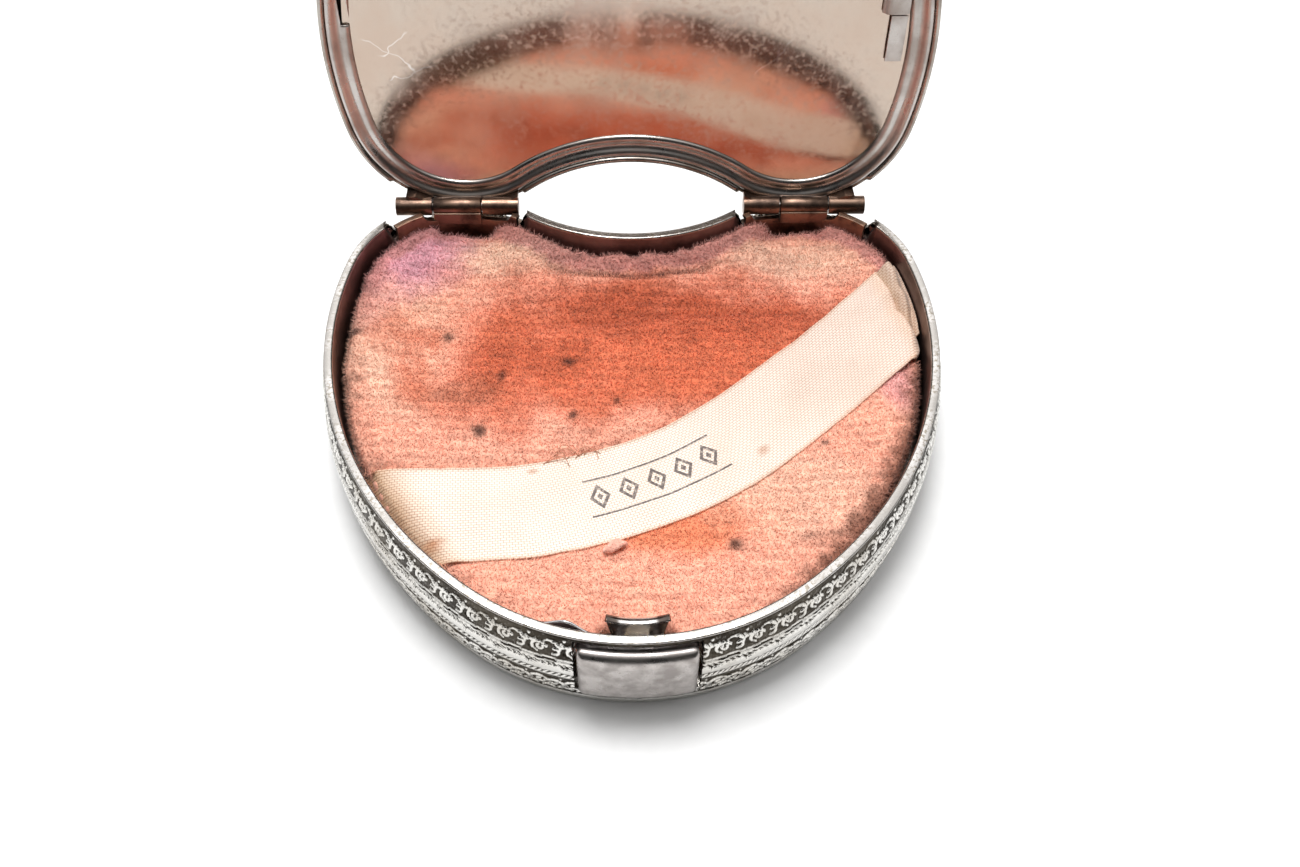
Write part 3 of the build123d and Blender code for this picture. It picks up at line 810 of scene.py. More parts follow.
def snap_to_openings(s, h, out):
    """Moves the strip's points that are nearest an opening's edges onto them."""
    cell_s, cell_h = PITCH / UNIT_COLUMNS * 0.55, (BAND_TOP - BAND_ROLL) / (BAND_ROWS - 6) * 0.55
    for edge in (WINDOW_LOW, WINDOW_HIGH):
        near = (np.abs(s) < WINDOW_X + 1) & (np.abs(h - edge) < cell_h)
        h[near] = edge
    behind = np.abs(s) > HALF * 0.6
    near = behind & (np.abs(h - NOTCH_Z) < cell_h)
    h[near] = NOTCH_Z
    for _ in range(2):
        x = np.abs(along_rim(s, out, h)[:, 0])
        away = rim(s)[1]
        slope = -away[:, 1] * np.sign(s)
        edges = [(WINDOW_X, ~behind & (h >= WINDOW_LOW) & (h <= WINDOW_HIGH))]
        spread = (h - NOTCH_Z) * NOTCH_SPREAD
        edges += [(NOTCH_NEAR - spread, behind & (h >= NOTCH_Z))]
        edges += [(NOTCH_FAR + spread, behind & (h >= NOTCH_Z))]
        for edge, rows in edges:
            gap = edge - x
            move = gap / np.where(np.abs(slope) < 0.2, 1, slope)
            near = rows & (np.abs(move) < cell_s)
            s[near] += move[near]
    return s, h


def close_strip(name, s, h, out, relief, faces):
    """Cuts the openings out of a stamped strip and gives it its edges and its inner wall."""
    points = along_rim(s, out, h)
    middles = points[faces].mean(1)
    faces = faces[~in_openings(*middles.T)]
    sides = np.concatenate([faces[:, [k, (k + 1) % 4]] for k in range(4)])
    keys = np.sort(sides, 1)
    _, first, counts = np.unique(keys, axis=0, return_index=True, return_counts=True)
    border = sides[first[counts == 1]]
    border_points = np.unique(border)
    number = {old: i for i, old in enumerate(border_points.tolist())}
    grid_s, grid_h = np.meshgrid(
        np.linspace(s.min(), s.max(), 90)[1:-1], np.linspace(0.4, BAND_TOP - 0.4, 7)
    )
    grid = np.column_stack([grid_s.ravel(), grid_h.ravel()])
    spot = along_rim(grid[:, 0], -BAND_T, grid[:, 1])
    grid = grid[~in_openings(*spot.T)]
    flat = np.vstack([np.column_stack([s[border_points], h[border_points]]), grid])
    edges = [(number[a], number[b]) for a, b in border.tolist()]
    made = geometry.delaunay_2d_cdt([Vector(p) for p in flat], edges, [], 0, 1e-7)
    wall_flat = np.array([tuple(p) for p in made[0]])
    wall = np.array([list(t) for t in made[2] if len(t) == 3])
    wall_points = along_rim(wall_flat[:, 0], -BAND_T, wall_flat[:, 1])
    wall = wall[~in_openings(*wall_points[wall].mean(1).T)]
    origin = {}
    for new, olds in enumerate(made[3]):
        for old in olds:
            origin[old] = new
    base = len(points)
    quads = [(b, a, base + origin[number[a]], base + origin[number[b]]) for a, b in border.tolist()]
    back = [(base + a, base + b, base + c) for a, b, c in wall.tolist()]
    every = [tuple(f) for f in faces.tolist()] + quads + back
    piece = mesh_piece(name, np.vstack([points, wall_points]), every, EMBOSSED)
    hold_values(piece, "relief", np.concatenate([relief, np.full(len(wall_points), 0.5)]))
    stamped = np.arange(len(every)) < len(faces)
    piece.data.polygons.foreach_set("use_smooth", stamped)
    work = bmesh.new()
    work.from_mesh(piece.data)
    bmesh.ops.recalc_face_normals(work, faces=work.faces)
    bmesh.ops.delete(work, geom=[v for v in work.verts if not v.link_faces], context="VERTS")
    work.to_mesh(piece.data)
    work.free()
    return piece


def make_side_band():
    unit, path, pattern = band_unit(), rim_path(), band_pattern()
    halves = []
    for name, first in (("side_band_left", 0), ("side_band_right", BAND_UNITS)):
        blank = mesh_piece(name + "_flat", np.zeros((0, 3)), [], EMBOSSED)
        pattern.run(blank, Unit=unit, Path=path, Count=BAND_UNITS, Pitch=PITCH * MM,
                    Start=first * PITCH * MM)
        mesh = blank.data
        place = np.empty(len(mesh.vertices) * 3, np.float32)
        mesh.attributes["flat_place"].data.foreach_get("vector", place)
        relief = np.empty(len(mesh.vertices), np.float32)
        mesh.attributes["relief"].data.foreach_get("value", relief)
        faces = np.empty(len(mesh.loops), np.int32)
        mesh.loops.foreach_get("vertex_index", faces)
        s, h, out = place.reshape(-1, 3).astype(float).T / MM
        s, h = snap_to_openings(s - HALF, h.copy(), out)
        if first == 0:
            s = np.where(s > -1e-4, -1e-9, s)
        halves.append(close_strip(name, s, h, out, relief, faces.reshape(-1, 4)))
        bpy.data.objects.remove(blank)
    for helper in (unit, path):
        bpy.data.objects.remove(helper)
    hand_over(halves[0], "base", "embossed_nickel", "side_band")
    hand_over(halves[1], "base", "embossed_nickel")


# Puff ------------------------------------------------------------------------------------------

PAD_LOW = box_of("puff_underside")[0][2]
PAD_SLAB = (PAD_LOW + 0.1, 5.9)  # lowest and highest of the pad before it swells
SWELL = 1.1
PAD_EDGE = 1.15  # how far inside the rim's outline the pad's side stays
RIB_PITCH = 1.12
CREASE_PLACE = 3.8  # how far inside the rim the crease at the cleft runs
CLEFT_Y = rim([HALF])[0][0][1]
STRAP_START, STRAP_HEADING = np.array([-26.1, -11.9]), math.radians(4.0)
STRAP_BEND_R, STRAP_TURN = 41.0, math.radians(37.0)
STRAP_FIRST_RUN, STRAP_W, STRAP_T = 14.2, 9.8, 0.16


def strap_line(u):
    """Points and headings of the strap's middle line, at distances u from its left end."""
    u = np.asarray(u, float)
    turned = np.clip((u - STRAP_FIRST_RUN) / STRAP_BEND_R, 0, STRAP_TURN)
    heading = STRAP_HEADING + turned
    first = np.minimum(u, STRAP_FIRST_RUN)
    last = np.maximum(u - STRAP_FIRST_RUN - STRAP_BEND_R * STRAP_TURN, 0)
    x = STRAP_START[0] + first * math.cos(STRAP_HEADING) + last * np.cos(heading)
    y = STRAP_START[1] + first * math.sin(STRAP_HEADING) + last * np.sin(heading)
    x = x + STRAP_BEND_R * (np.sin(heading) - math.sin(STRAP_HEADING))
    y = y + STRAP_BEND_R * (math.cos(STRAP_HEADING) - np.cos(heading))
    return np.stack([x, y], -1), heading


def strap_at(u, v):
    """Place of the strap's point at u along it and v to the left of its middle."""
    middle, heading = strap_line(u)
    return middle + np.stack([-np.sin(heading) * v, np.cos(heading) * v], -1)


def across_strap(points):
    """How far to the left of the strap's middle line each point is."""
    middle, heading = strap_line(np.linspace(-4, 68, 361))
    i = nearest(points, middle)
    gap = points[:, :2] - middle[i]
    return gap[:, 1] * np.cos(heading[i]) - gap[:, 0] * np.sin(heading[i])


def pad_level(x, y, inside):
    """Height of the pad's top: dished, its side edges risen and rounded, and highest at the cleft."""
    into = np.maximum(inside - PAD_EDGE, 0)
    level = 6.4 + 0.015 * (y + 8) + (0.5 + 2.1 * smooth(y, -16, -2)) * np.exp(-into / 3.6)
    cleft = smooth(y, 10, CLEFT_Y - 1) * np.exp(-(x / 9) ** 2)
    level += 0.7 * cleft
    rounding = np.clip(1 - into / 1.5, 0, 1)
    return level - (1.5 - 1.1 * cleft) * (1 - np.sqrt(1 - 0.96 * rounding ** 2))


def swollen(piece, cell, push, cap, frames=20):
    """Remeshes a closed piece and swells it as cloth. No point moves further than the cap.

    It is done ten times as large, where cloth's own settings suit it."""
    large = 10
    place_points(piece, points_of(piece) * large)
    cells = piece.modifiers.new("cells", "REMESH")
    cells.mode, cells.voxel_size = "VOXEL", cell * MM * large
    settled(piece)
    start = points_of(piece)
    cloth = piece.modifiers.new("cloth", "CLOTH")
    cloth.settings.use_pressure = True
    cloth.settings.uniform_pressure_force = push
    cloth.settings.effector_weights.gravity = 0
    for moment in range(1, frames + 1):
        bpy.context.scene.frame_set(moment)
    settled(piece)
    bpy.context.scene.frame_set(1)
    end = points_of(piece)
    move = end - start
    far = np.linalg.norm(move, axis=1)[:, None]
    move = move * np.minimum(1, cap * large / np.maximum(far, 1e-6))
    place_points(piece, (start + move) / large)
    finer = piece.modifiers.new("finer", "SUBSURF")
    finer.levels = finer.render_levels = 1
    return settled(piece)


def paint(*colour):
    """Linear colour of a shade given from 0 to 255."""
    return np.array([(part / 255) ** 2.2 for part in colour])


class Dye:
    """The colour of each point of a cloth, stained bit by bit."""

    def __init__(self, shade, count):
        self.colour = np.tile(paint(*shade), (count, 1))

    def stain(self, shade, share):
        share = np.clip(share, 0, 1)[:, None]
        self.colour = self.colour * (1 - share) + paint(*shade) * share

    def settled(self, wear_and_shade, lightest):
        """The colours, darkened or lightened by the given factor: random tone, and on the pad also painted
        shade between its ribs.
        """
        worn = np.clip(self.colour * wear_and_shade[:, None], 0.01, lightest)
        return np.column_stack([worn, np.ones(len(worn))])


# Shades of the velour, and its stains: shade, strength, middle, reach across and along
PEACH, ORANGE, RUST, LILAC = (255, 186, 160), (232, 122, 84), (196, 92, 60), (232, 168, 182)
CREAM, MAUVE = (255, 214, 188), (222, 152, 148)
# The crease colour is painted shade for the crease at the cleft, not a stain.
DIRT, SPOT, CREASE_SHADE, PALE_ORANGE = (140, 86, 66), (70, 36, 26), (112, 52, 34), (244, 142, 98)
STAINS = (
    (CREAM, 0.7, (-22, 8), (7, 9)), (CREAM, 0.75, (-13, 19.5), (8, 2.6)), (CREAM, 0.6, (17, 19), (8, 3)),
    (LILAC, 0.95, (-23.5, 20.5), (7.5, 6.5)), (MAUVE, 0.5, (-26.5, 14.5), (2.5, 5)),
    (MAUVE, 0.45, (-18.3, 17.8), (2.6, 1.6)), (LILAC, 0.5, (25, 3), (2.5, 4)),
    (ORANGE, 0.9, (0, 8), (24, 9.5)), (ORANGE, 0.7, (10, 8), (19, 8)), (RUST, 0.55, (7, 11.5), (16, 3.5)),
    (ORANGE, 0.55, (-12, 4.5), (10, 7)), (RUST, 0.4, (-11, 6.5), (8, 3)), (RUST, 0.35, (-3, 14), (10, 2)),
    (PALE_ORANGE, 0.85, (3.5, -12), (9, 4)), (CREAM, 0.45, (14, -9.5), (8, 5)),
    (DIRT, 0.35, (-15.8, 2.6), (3.2, 1.8)), (DIRT, 0.3, (-27.5, 1.0), (3.0, 5.5)),
    (DIRT, 0.35, (16.5, -14.2), (2.5, 1.2)), (DIRT, 0.3, (-22.0, -15.5), (2.4, 1.6)),
)
# Dark specks: x, y, size
SPOTS = (
    (-17.9, 9.1, 0.75), (-12.5, 4.3, 0.7), (-6.3, 6.1, 0.8), (-14.2, -2.2, 0.8), (-5.7, -0.3, 0.6),
    (8.6, -14.3, 0.8), (-1.6, 1.4, 0.4), (17.5, -4.0, 0.35), (3.0, 16.8, 0.5), (-27.0, 9.5, 0.8),
)


def pad_tint(points, inside, ribs):
    """Colour of the dyed pile at each point, with its worn patches, stains and soiled edges, and painted
    shade in the crease at the cleft and between the ribs.
    """
    x, y = points[:, 0], points[:, 1]
    patches, fray = lumps(points, 4.5, 1.0), lumps(points, 1.1, 2.0)
    dye = Dye(PEACH, len(points))
    for shade, strength, middle, reach in STAINS:
        away = np.hypot((x - middle[0]) / reach[0], (y - middle[1]) / reach[1])
        dye.stain(shade, strength * smooth(-away - 0.35 * patches - 0.12 * fray, -1.25, -0.45))
    dye.stain(MAUVE, 0.75 * smooth(y, 12, 17) * smooth(-inside - 0.5 * fray, -3.6, -2.8))
    # Painted shade: the dark crease colour laid along the crease at the cleft.
    crease = np.exp(-((inside - CREASE_PLACE) / 0.35) ** 2)
    dye.stain(CREASE_SHADE, 0.95 * crease * smooth(y, 8, 12) * smooth(-np.abs(x), -10, -6))
    right_front = smooth(x, 8, 18) * smooth(-y, -8, 0)
    edge = smooth(-inside - 1.3 * fray, -3.6, -1.8)
    dye.stain(DIRT, 0.85 * edge * np.clip(0.3 + right_front, 0, 1))
    for spot_x, spot_y, size in SPOTS:
        away = np.hypot(x - spot_x, y - spot_y) / size
        dye.stain(SPOT, 0.85 * smooth(-away - 0.5 * fray, -1.2, -0.3))
    # Painted shade: the pile darkened between the ribs, less so towards the front.
    painted_rib_shade = (1 - ribs) * (1 - smooth(-y, 8, 16) * 0.5)
    return dye.settled(1 + 0.07 * patches + 0.09 * fray - 0.16 * painted_rib_shade, 0.98)


def tuft():
    """Points and faces of a loose wisp of the pile."""
    turns, rows, half_length, half_width = 14, 11, 1.15, 0.45
    middle, turn = (-1.8, -14.9), math.radians(22)
    points = []
    for i in range(rows + 1):
        t = math.pi * i / rows
        for k in range(turns):
            a = 2 * math.pi * k / turns
            radius = half_width * math.sin(t) * (1 + 0.3 * math.sin(3 * a + i))
            points.append((-half_length * math.cos(t), radius * math.cos(a), radius * math.sin(a) * 0.8))
    x, y, z = np.array(points).T
    placed_x = middle[0] + x * math.cos(turn) - y * math.sin(turn)
    placed_y = middle[1] + x * math.sin(turn) + y * math.cos(turn) + 0.12 * np.cos(2 * x)
    z = z + (pad_level(placed_x, placed_y, 9.0) + half_width)
    points = np.column_stack([placed_x, placed_y, z])
    return points, grid_faces(rows + 1, turns, wrap_columns=True)


def pile_pattern():
    """Short hairs scattered over a cloth where its pile value allows."""
    p = Pattern("pile", Hair="Object", Density="Float", Seed="Int", Short="Float", Long="Float")
    g = p.given
    share = p.add("GeometryNodeInputNamedAttribute", {"Name": "pile"}, data_type="FLOAT")["Attribute"]
    density = p.add("ShaderNodeMath", {0: share, 1: g["Density"]}, operation="MULTIPLY")["Value"]
    spread = p.add("GeometryNodeDistributePointsOnFaces",
                   {"Mesh": g["Geometry"], "Density": density, "Seed": g["Seed"]})
    least, most = (-0.9, -0.9, -3.14), (1.1, 0.9, 3.14)
    lean = p.add("FunctionNodeRandomValue", {0: least, 1: most, "Seed": g["Seed"]},
                 data_type="FLOAT_VECTOR")[0]
    turn = p.add("FunctionNodeRotateRotation", {"Rotation": spread["Rotation"], "Rotate By": lean},
                 rotation_space="LOCAL")["Rotation"]
    size = p.add("FunctionNodeRandomValue", {2: g["Short"], 3: g["Long"], "Seed": g["Seed"]},
                 data_type="FLOAT")[1]
    hair = p.add("GeometryNodeObjectInfo", {"Object": g["Hair"]})["Geometry"]
    hairs = p.add("GeometryNodeInstanceOnPoints",
                  {"Points": spread["Points"], "Instance": hair, "Rotation": turn, "Scale": size})
    both = p.tree.nodes.new("GeometryNodeJoinGeometry")
    for part in (hairs["Instances"], g["Geometry"]):
        p.tree.links.new(part, both.inputs[0])
    p.finish(both.outputs[0], VELOUR)
    return p


def make_hair():
    """One closed spike of the pile, a millimetre long."""
    radius, root, tip_lean = 0.055, -0.1, 0.2
    base = [(radius * math.cos(a), radius * math.sin(a), root) for a in (0, 2.1, 4.2)]
    points = base + [(tip_lean, 0, 1.0)]
    hair = mesh_piece("hair", points, [(2, 1, 0), (0, 1, 3), (1, 2, 3), (2, 0, 3)], VELOUR)
    # The tip mark lets the velour lighten the hair's tip: painted light.
    hold_values(hair, "tip", [0.0, 0.0, 0.0, 1.0])
    return hair


def pad_blank():
    """Flat heart slab with room cut out for the catch and for the hinges' leaves."""
    spacing = np.linspace(-HALF, HALF, 300, endpoint=False)
    outline = [along_rim(spacing, -1.35, z) for z in PAD_SLAB]
    count = len(spacing)
    faces = [tuple(range(count))[::-1], tuple(range(count, 2 * count))]
    faces += [(i, (i + 1) % count, count + (i + 1) % count, count + i) for i in range(count)]
    pad = mesh_piece("velour_puff", np.vstack(outline), faces, VELOUR, recalculate=True)
    gaps = [block("catch_room", (-3.6, -30, 0), (3.6, -22.3, 12), VELOUR)]
    for side in (-1, 1):
        gaps.append(block("leaf_room", (side * 18 - 3.1, 23.4, 0), (side * 18 + 3.1, 30, 12), VELOUR))
    return cut(pad, gaps)


def pressed_into_case(points):
    """The swollen pad's points, held clear of the wall, ribbed, dished and pressed under the strap.

    Gives the points, how far inside the rim each is, its rib and its place across the strap."""
    bottom = smooth(-points[:, 2], -5.2, -4.2)
    inside, away = inside_rim(points)
    reach = np.percentile(inside[np.abs(points[:, 0]) < 15], 1)
    push = np.maximum(PAD_EDGE - inside, (PAD_EDGE - reach) * np.exp(-np.maximum(inside - reach, 0) / 4))
    push = push + 0.4 * bottom * (inside < 2.6)
    points[:, :2] -= away * push[:, None]
    inside = inside + push
    x, y, z = points.T
    wander = 0.5 * lumps(points * (0.4, 1, 0), 5.0, 3.0) + 0.35 * np.sin(x / 8 + 1)
    ribs = np.sqrt(np.abs(np.sin(np.pi * (y + wander) / RIB_PITCH)))
    steps = np.linspace(PAD_EDGE, inside.max() - 0.4, 60)
    upper = [z[np.abs(inside - step) < 0.35].max() for step in steps]
    crown, waist = np.interp(inside, steps, upper), PAD_LOW + 1.0
    aim = np.maximum(pad_level(x, y, inside), waist + 0.6)
    z = np.where(z > waist, waist + (z - waist) * (aim - waist) / np.maximum(crown - waist, 0.4), z)
    top = smooth(z, waist, aim - 0.3)
    level = 0.20 * (ribs - 0.7)
    level += 0.28 * lumps(points, 6.0, 4.0) + 0.10 * lumps(points, 1.6, 5.0)
    crease = np.exp(-((inside - CREASE_PLACE) / 0.7) ** 2)
    level -= 0.4 * crease * smooth(y, 8, 12) * smooth(-np.abs(x), -11, -7)
    fold = y - 11.3 - 0.8 * np.sin(x / 6.5)
    level -= 0.28 * np.exp(-(fold / 0.5) ** 2) * smooth(x, -17, -12) * smooth(-x, -26, -20)
    across = across_strap(points)
    level -= 0.42 * smooth(-np.abs(across), -STRAP_W / 2 - 1.2, -STRAP_W / 2 + 0.6)
    points[:, 2] = np.maximum(z + top * level, PAD_LOW + 0.02)
    front = smooth(-np.abs(x), -4.4, -3.2)
    points[:, 1] = np.where(y < -20, np.maximum(y, -22.45 - 9 * (1 - front)), y)
    return points, inside, ribs, across


def make_puff():
    """Heart pad of ribbed velour, swollen as cloth and pressed down under its strap."""
    pad = swollen(pad_blank(), cell=0.58, push=4.0, cap=SWELL)
    points, inside, ribs, across = pressed_into_case(points_of(pad))
    tint = pad_tint(points, inside, ribs)
    under_strap = (np.abs(across) < STRAP_W / 2 - 0.12) & (inside > 1.5)
    pile = np.where(under_strap, 0.0, smooth(points[:, 2], PAD_LOW + 0.3, PAD_LOW + 1.2))
    wisp, wisp_faces = tuft()
    wisp_tint = np.tile([*paint(250, 186, 166), 1.0], (len(wisp), 1))
    faces = [tuple(face.vertices) for face in pad.data.polygons]
    faces += [tuple(int(i) + len(points) for i in face) for face in wisp_faces]
    bpy.data.objects.remove(pad)
    pad = mesh_piece("velour_puff", np.vstack([points, wisp]), faces, VELOUR)
    hold_values(pad, "tint", np.vstack([tint, wisp_tint]))
    hold_values(pad, "pile", np.concatenate([pile, np.ones(len(wisp))]))
    held_pad = pad.data.copy()
    hair = make_hair()
    pile_pattern().run(pad, Hair=hair, Density=34e6, Seed=7, Short=0.3, Long=0.72)
    bpy.data.objects.remove(hair)
    hand_over(pad, "base", "coral_velour", "puff_face", "puff_underside", "puff_filling")
    return held_pad


# Strap -----------------------------------------------------------------------------------------

def strap_ends(v):
    """Where the strap starts and stops, across its width: at the wall, and at its folded end."""
    u = np.linspace(-3, 66, 700)
    starts, stops = [], []
    for across in v:
        inside = inside_rim(strap_at(u, np.full(len(u), across)))[0]
        within = u[inside > 0.98]
        starts.append(within.min())
        corner = 1 - math.sqrt(max(1 - max((-3.1 - across) / 1.85, 0) ** 2, 0))
        dent = 0.3 * math.exp(-((across - 0.3) / 0.5) ** 2)
        stops.append(min(within.max(), 59.6 + 0.4 * across) - 1.5 * corner - dent)
    return np.array(starts), np.array(stops)


def surface_under(mesh):
    """Finds the height of a mesh's top below a point."""
    tree = BVHTree.FromPolygons(
        [tuple(v.co) for v in mesh.vertices], [tuple(f.vertices) for f in mesh.polygons]
    )

    def height(flat):
        found = []
        for x, y in flat:
            hit = tree.ray_cast(Vector((x * MM, y * MM, 0.02)), Vector((0, 0, -1)))[0]
            found.append(hit.z / MM if hit is not None else np.nan)
        return np.array(found)

    return height


def evened(field, times):
    """Averages a grid of heights with its neighbours."""
    for _ in range(times):
        wide = np.pad(field, 1, mode="edge")
        field = (wide[:-2, 1:-1] + wide[2:, 1:-1] + wide[1:-1, :-2] + wide[1:-1, 2:] + 2 * field) / 6
    return field


# Rust marks on the strap: place along and across it, size, strength
RUST_MARKS = ((8.6, -2.9, 0.75, 0.75), (38.3, -2.4, 0.6, 0.5), (17.5, 4.1, 0.5, 0.5))


def strap_tint(u, v, starts, stops):
    """Colour of the strap: its left end browned by painted shade where it tucks down by the wall, greyer
    to the right, with three rust marks.
    """
    points = np.column_stack([u, v, np.zeros(len(u))])
    patches, fray = lumps(points, 5.0, 6.0), lumps(points * (0.3, 1, 1), 0.7, 7.0)
    dye = Dye((255, 247, 238), len(u))
    dye.stain((244, 224, 214), smooth(u, 26, 52) * 0.75)
    # Painted shade: the left end browned, darkest at its very end, where it tucks down by the wall.
    dye.stain((206, 164, 122), 0.85 * smooth(-(u - starts) - 1.2 * patches, -4.5, -0.6))
    dye.stain((150, 96, 66), 0.8 * smooth(-(u - starts) - 0.5 * fray, -1.2, -0.1))
    dye.stain((240, 208, 182), 0.5 * smooth(-(stops - u) - 0.5 * patches, -2.2, -0.4))
    dye.stain((222, 186, 156), 0.5 * smooth(np.abs(v), STRAP_W / 2 - 0.5, STRAP_W / 2))
    for mark_u, mark_v, size, strength in RUST_MARKS:
        away = np.hypot((u - mark_u) / 1.5, v - mark_v) / size
        dye.stain((186, 118, 62), strength * smooth(-away - 0.5 * fray, -1.1, -0.2))
    return dye.settled(1 + 0.035 * patches + 0.02 * fray, 1.0)


def strap_sheet(name, columns, rows, edges, ends, lifted, shade=1.0):
    """A strip of the strap: a grid from end to end, with the places that its weave follows. Its colour is
    multiplied by shade, and below 1 that is painted shade.
    """
    v = np.linspace(edges[0], edges[1], rows)
    starts, stops = ends(v)
    t = np.linspace(0, 1, columns)[:, None]
    u = starts + (stops - starts) * t
    across = np.broadcast_to(v, u.shape)
    flat = strap_at(u.ravel(), across.ravel())
    z = lifted(u, across, flat, starts, stops)
    piece = mesh_piece(name, np.column_stack([flat, z.ravel()]), grid_faces(columns, rows), SATIN)
    tint = strap_tint(*(np.broadcast_to(part, u.shape).ravel() for part in (u, across, starts, stops)))
    # A shade below 1 darkens the strip's colour: painted shade.
    tint[:, :3] *= shade
    hold_values(piece, "strap", np.column_stack([u.ravel(), across.ravel(), np.ones(u.size)]))
    hold_values(piece, "tint", tint)
    return walled(piece, STRAP_T, 1)


def tube(points, radius, sides=5):
    """Points and faces of a thin closed thread along a row of points."""
    points = np.asarray(points, float)
    ahead = np.gradient(points, axis=0)
    ahead /= np.linalg.norm(ahead, axis=1)[:, None]
    side = np.cross(ahead, (0.1, 0.2, 1.0))
    side /= np.linalg.norm(side, axis=1)[:, None]
    up = np.cross(side, ahead)
    a = np.linspace(0, 2 * np.pi, sides, endpoint=False)
    ring_points = points[:, None] + radius * (
        side[:, None] * np.cos(a)[None, :, None] + up[:, None] * np.sin(a)[None, :, None]
    )
    return ring_points.reshape(-1, 3), capped_faces(len(points), sides)


def make_threads(height):
    """Loose ends of the strap: a tangle on its upper edge and a frayed left corner."""
    chance = np.random.default_rng(5)
    runs = []
    t = np.linspace(0, 1, 16)[:, None]

    def bent(start, middle, end, lift):
        flat = (1 - t) ** 2 * start + 2 * t * (1 - t) * middle + t ** 2 * end
        z = height(flat)
        z = np.where(np.isnan(z), 6.3, z) + 0.3 + lift * np.sin(np.pi * t[:, 0])
        return np.column_stack([flat, z])

    for _ in range(9):
        start = strap_at(np.array([19.0 + 5 * chance.random()]), np.array([4.7]))[0]
        end = start + (chance.uniform(-2.2, 2.4), chance.uniform(-0.6, 1.0))
        middle = (start + end) / 2 + (chance.uniform(-1, 1), chance.uniform(0.6, 1.8))
        runs.append(bent(start, middle, end, chance.uniform(0.1, 0.5)))
    for side_v, amount in ((-4.6, 16), (4.6, 7)):
        start_u = strap_ends([side_v])[0][0]
        for _ in range(amount):
            start = strap_at(np.array([start_u + chance.uniform(0.0, 2.2)]), np.array([side_v]))[0]
            end = start + (chance.uniform(-0.3, 0.9), chance.uniform(0.4, 1.3) * np.sign(side_v))
            middle = (start + end) / 2 + (chance.uniform(-0.4, 0.4), chance.uniform(-0.3, 0.3))
            runs.append(bent(start, middle, end, 0.1))
    every, faces = [], []
    for run in runs:
        points, sides = tube(run, 0.035)
        faces += [tuple(i + sum(map(len, every)) for i in face) for face in sides]
        every.append(points)
    piece = mesh_piece("strap_loose_threads", np.vstack(every), faces, SATIN, recalculate=True)
    count = len(piece.data.vertices)
    hold_values(piece, "strap", np.tile([0.0, 0.0, 0.0], (count, 1)))
    hold_values(piece, "tint", np.tile([*paint(246, 206, 188), 1.0], (count, 1)))
    return hand_over(piece, "base", "cream_satin")


def make_strap(pad_mesh):
    """Satin strap across the puff, its right end folded under."""
    height = surface_under(pad_mesh)

    def rest_on_pad(u, v, flat, starts, stops):
        z = height(flat).reshape(u.shape)
        z = np.where(np.isnan(z), 6.2, z)
        z = np.maximum(evened(z, 40), z - 0.05) + 0.10
        z = evened(z, 6)
        z += 0.05 * np.exp(-((STRAP_W / 2 - np.abs(v)) / 0.18) ** 2)
        z += 0.9 * smooth(u, 50, 60) - 0.3 * smooth(v, 2, 5) * smooth(u, 50, 60)
        tucked = u - starts
        z -= 0.9 * (1 - smooth(tucked, 0, 1.6)) - 0.25 * np.exp(-((tucked - 2.4) / 1.2) ** 2)
        fold = np.clip(1 - (stops - u) / 0.45, 0, 1)
        return z - 0.35 * (1 - np.sqrt(np.clip(1 - fold ** 2, 0, 1)))

    strap = strap_sheet("satin_strap", 420, 84, (-STRAP_W / 2, STRAP_W / 2), strap_ends, rest_on_pad)
    hand_over(strap, "base", "cream_satin", "puff_ribbon")

    def turned_under(v):
        stops = strap_ends(v)[1]
        u = np.linspace(50, 68, 300)
        wall = []
        for across in v:
            inside = inside_rim(strap_at(u, np.full(len(u), across)))[0]
            wall.append(u[inside > 0.92].max())
        return stops - 1.6, np.maximum(np.array(wall), stops - 1.0)

    def below(u, v, flat, starts, stops):
        z = height(flat).reshape(u.shape)
        z = evened(np.where(np.isnan(z), 6.4, z), 12)
        return z + 0.35 + 0.25 * smooth(u, 50, 60) + 0.5 * smooth(u - starts, 1.6, 3.0)

    edges = (-3.0, STRAP_W / 2 - 0.15)
    # The turned-under end is darkened to 0.8 of its colour: painted shade.
    under = strap_sheet("satin_strap_turned_end", 36, 60, edges, turned_under, below, 0.8)
    hand_over(under, "base", "cream_satin")
    make_threads(height)


# Collar and rim --------------------------------------------------------------------------------

def notch_cutter(name, low, high, spread):
    """Slant-ended blocks over both hinges, from height low to high."""
    def slanted(points):
        middle = (NOTCH_NEAR + NOTCH_FAR) / 2
        away = np.where(np.abs(points[:, 0]) > middle, 1, -1) * np.sign(points[:, 0])
        points[:, 0] += away * (points[:, 2] - NOTCH_Z) * spread
        return points

    return [
        block(f"{name}_{side}", (min(side * NOTCH_NEAR, side * NOTCH_FAR), 12, low),
              (max(side * NOTCH_NEAR, side * NOTCH_FAR), 32, high), COLLAR_METAL, slanted)
        for side in (-1, 1)
    ]


def make_collar():
    """Smooth strip inside the band. Its turned-over edge is the rim."""
    inside = -BAND_T - COLLAR_T
    section = rounded(
        [(inside, 0.5), (-BAND_T, 0.5), (-BAND_T, 9.74), (0.03, 9.74), (0.03, RIM_Z), (inside, RIM_Z)],
        [0, 0, 0, 0.06, 0.26, 0.2],
    )
    collar = ring("inner_collar_strip", section, COLLAR_METAL, spacing=0.5)
    window = block("window", (-WINDOW_X, TIP_Y - 3, WINDOW_LOW), (WINDOW_X, TIP_Y + 3, WINDOW_HIGH - 0.1),
                   COLLAR_METAL)
    cut(collar, [window] + notch_cutter("notch", NOTCH_Z, RIM_Z + 1, NOTCH_SPREAD))
    hand_over(collar, "base", "polished_nickel", "inner_collar")


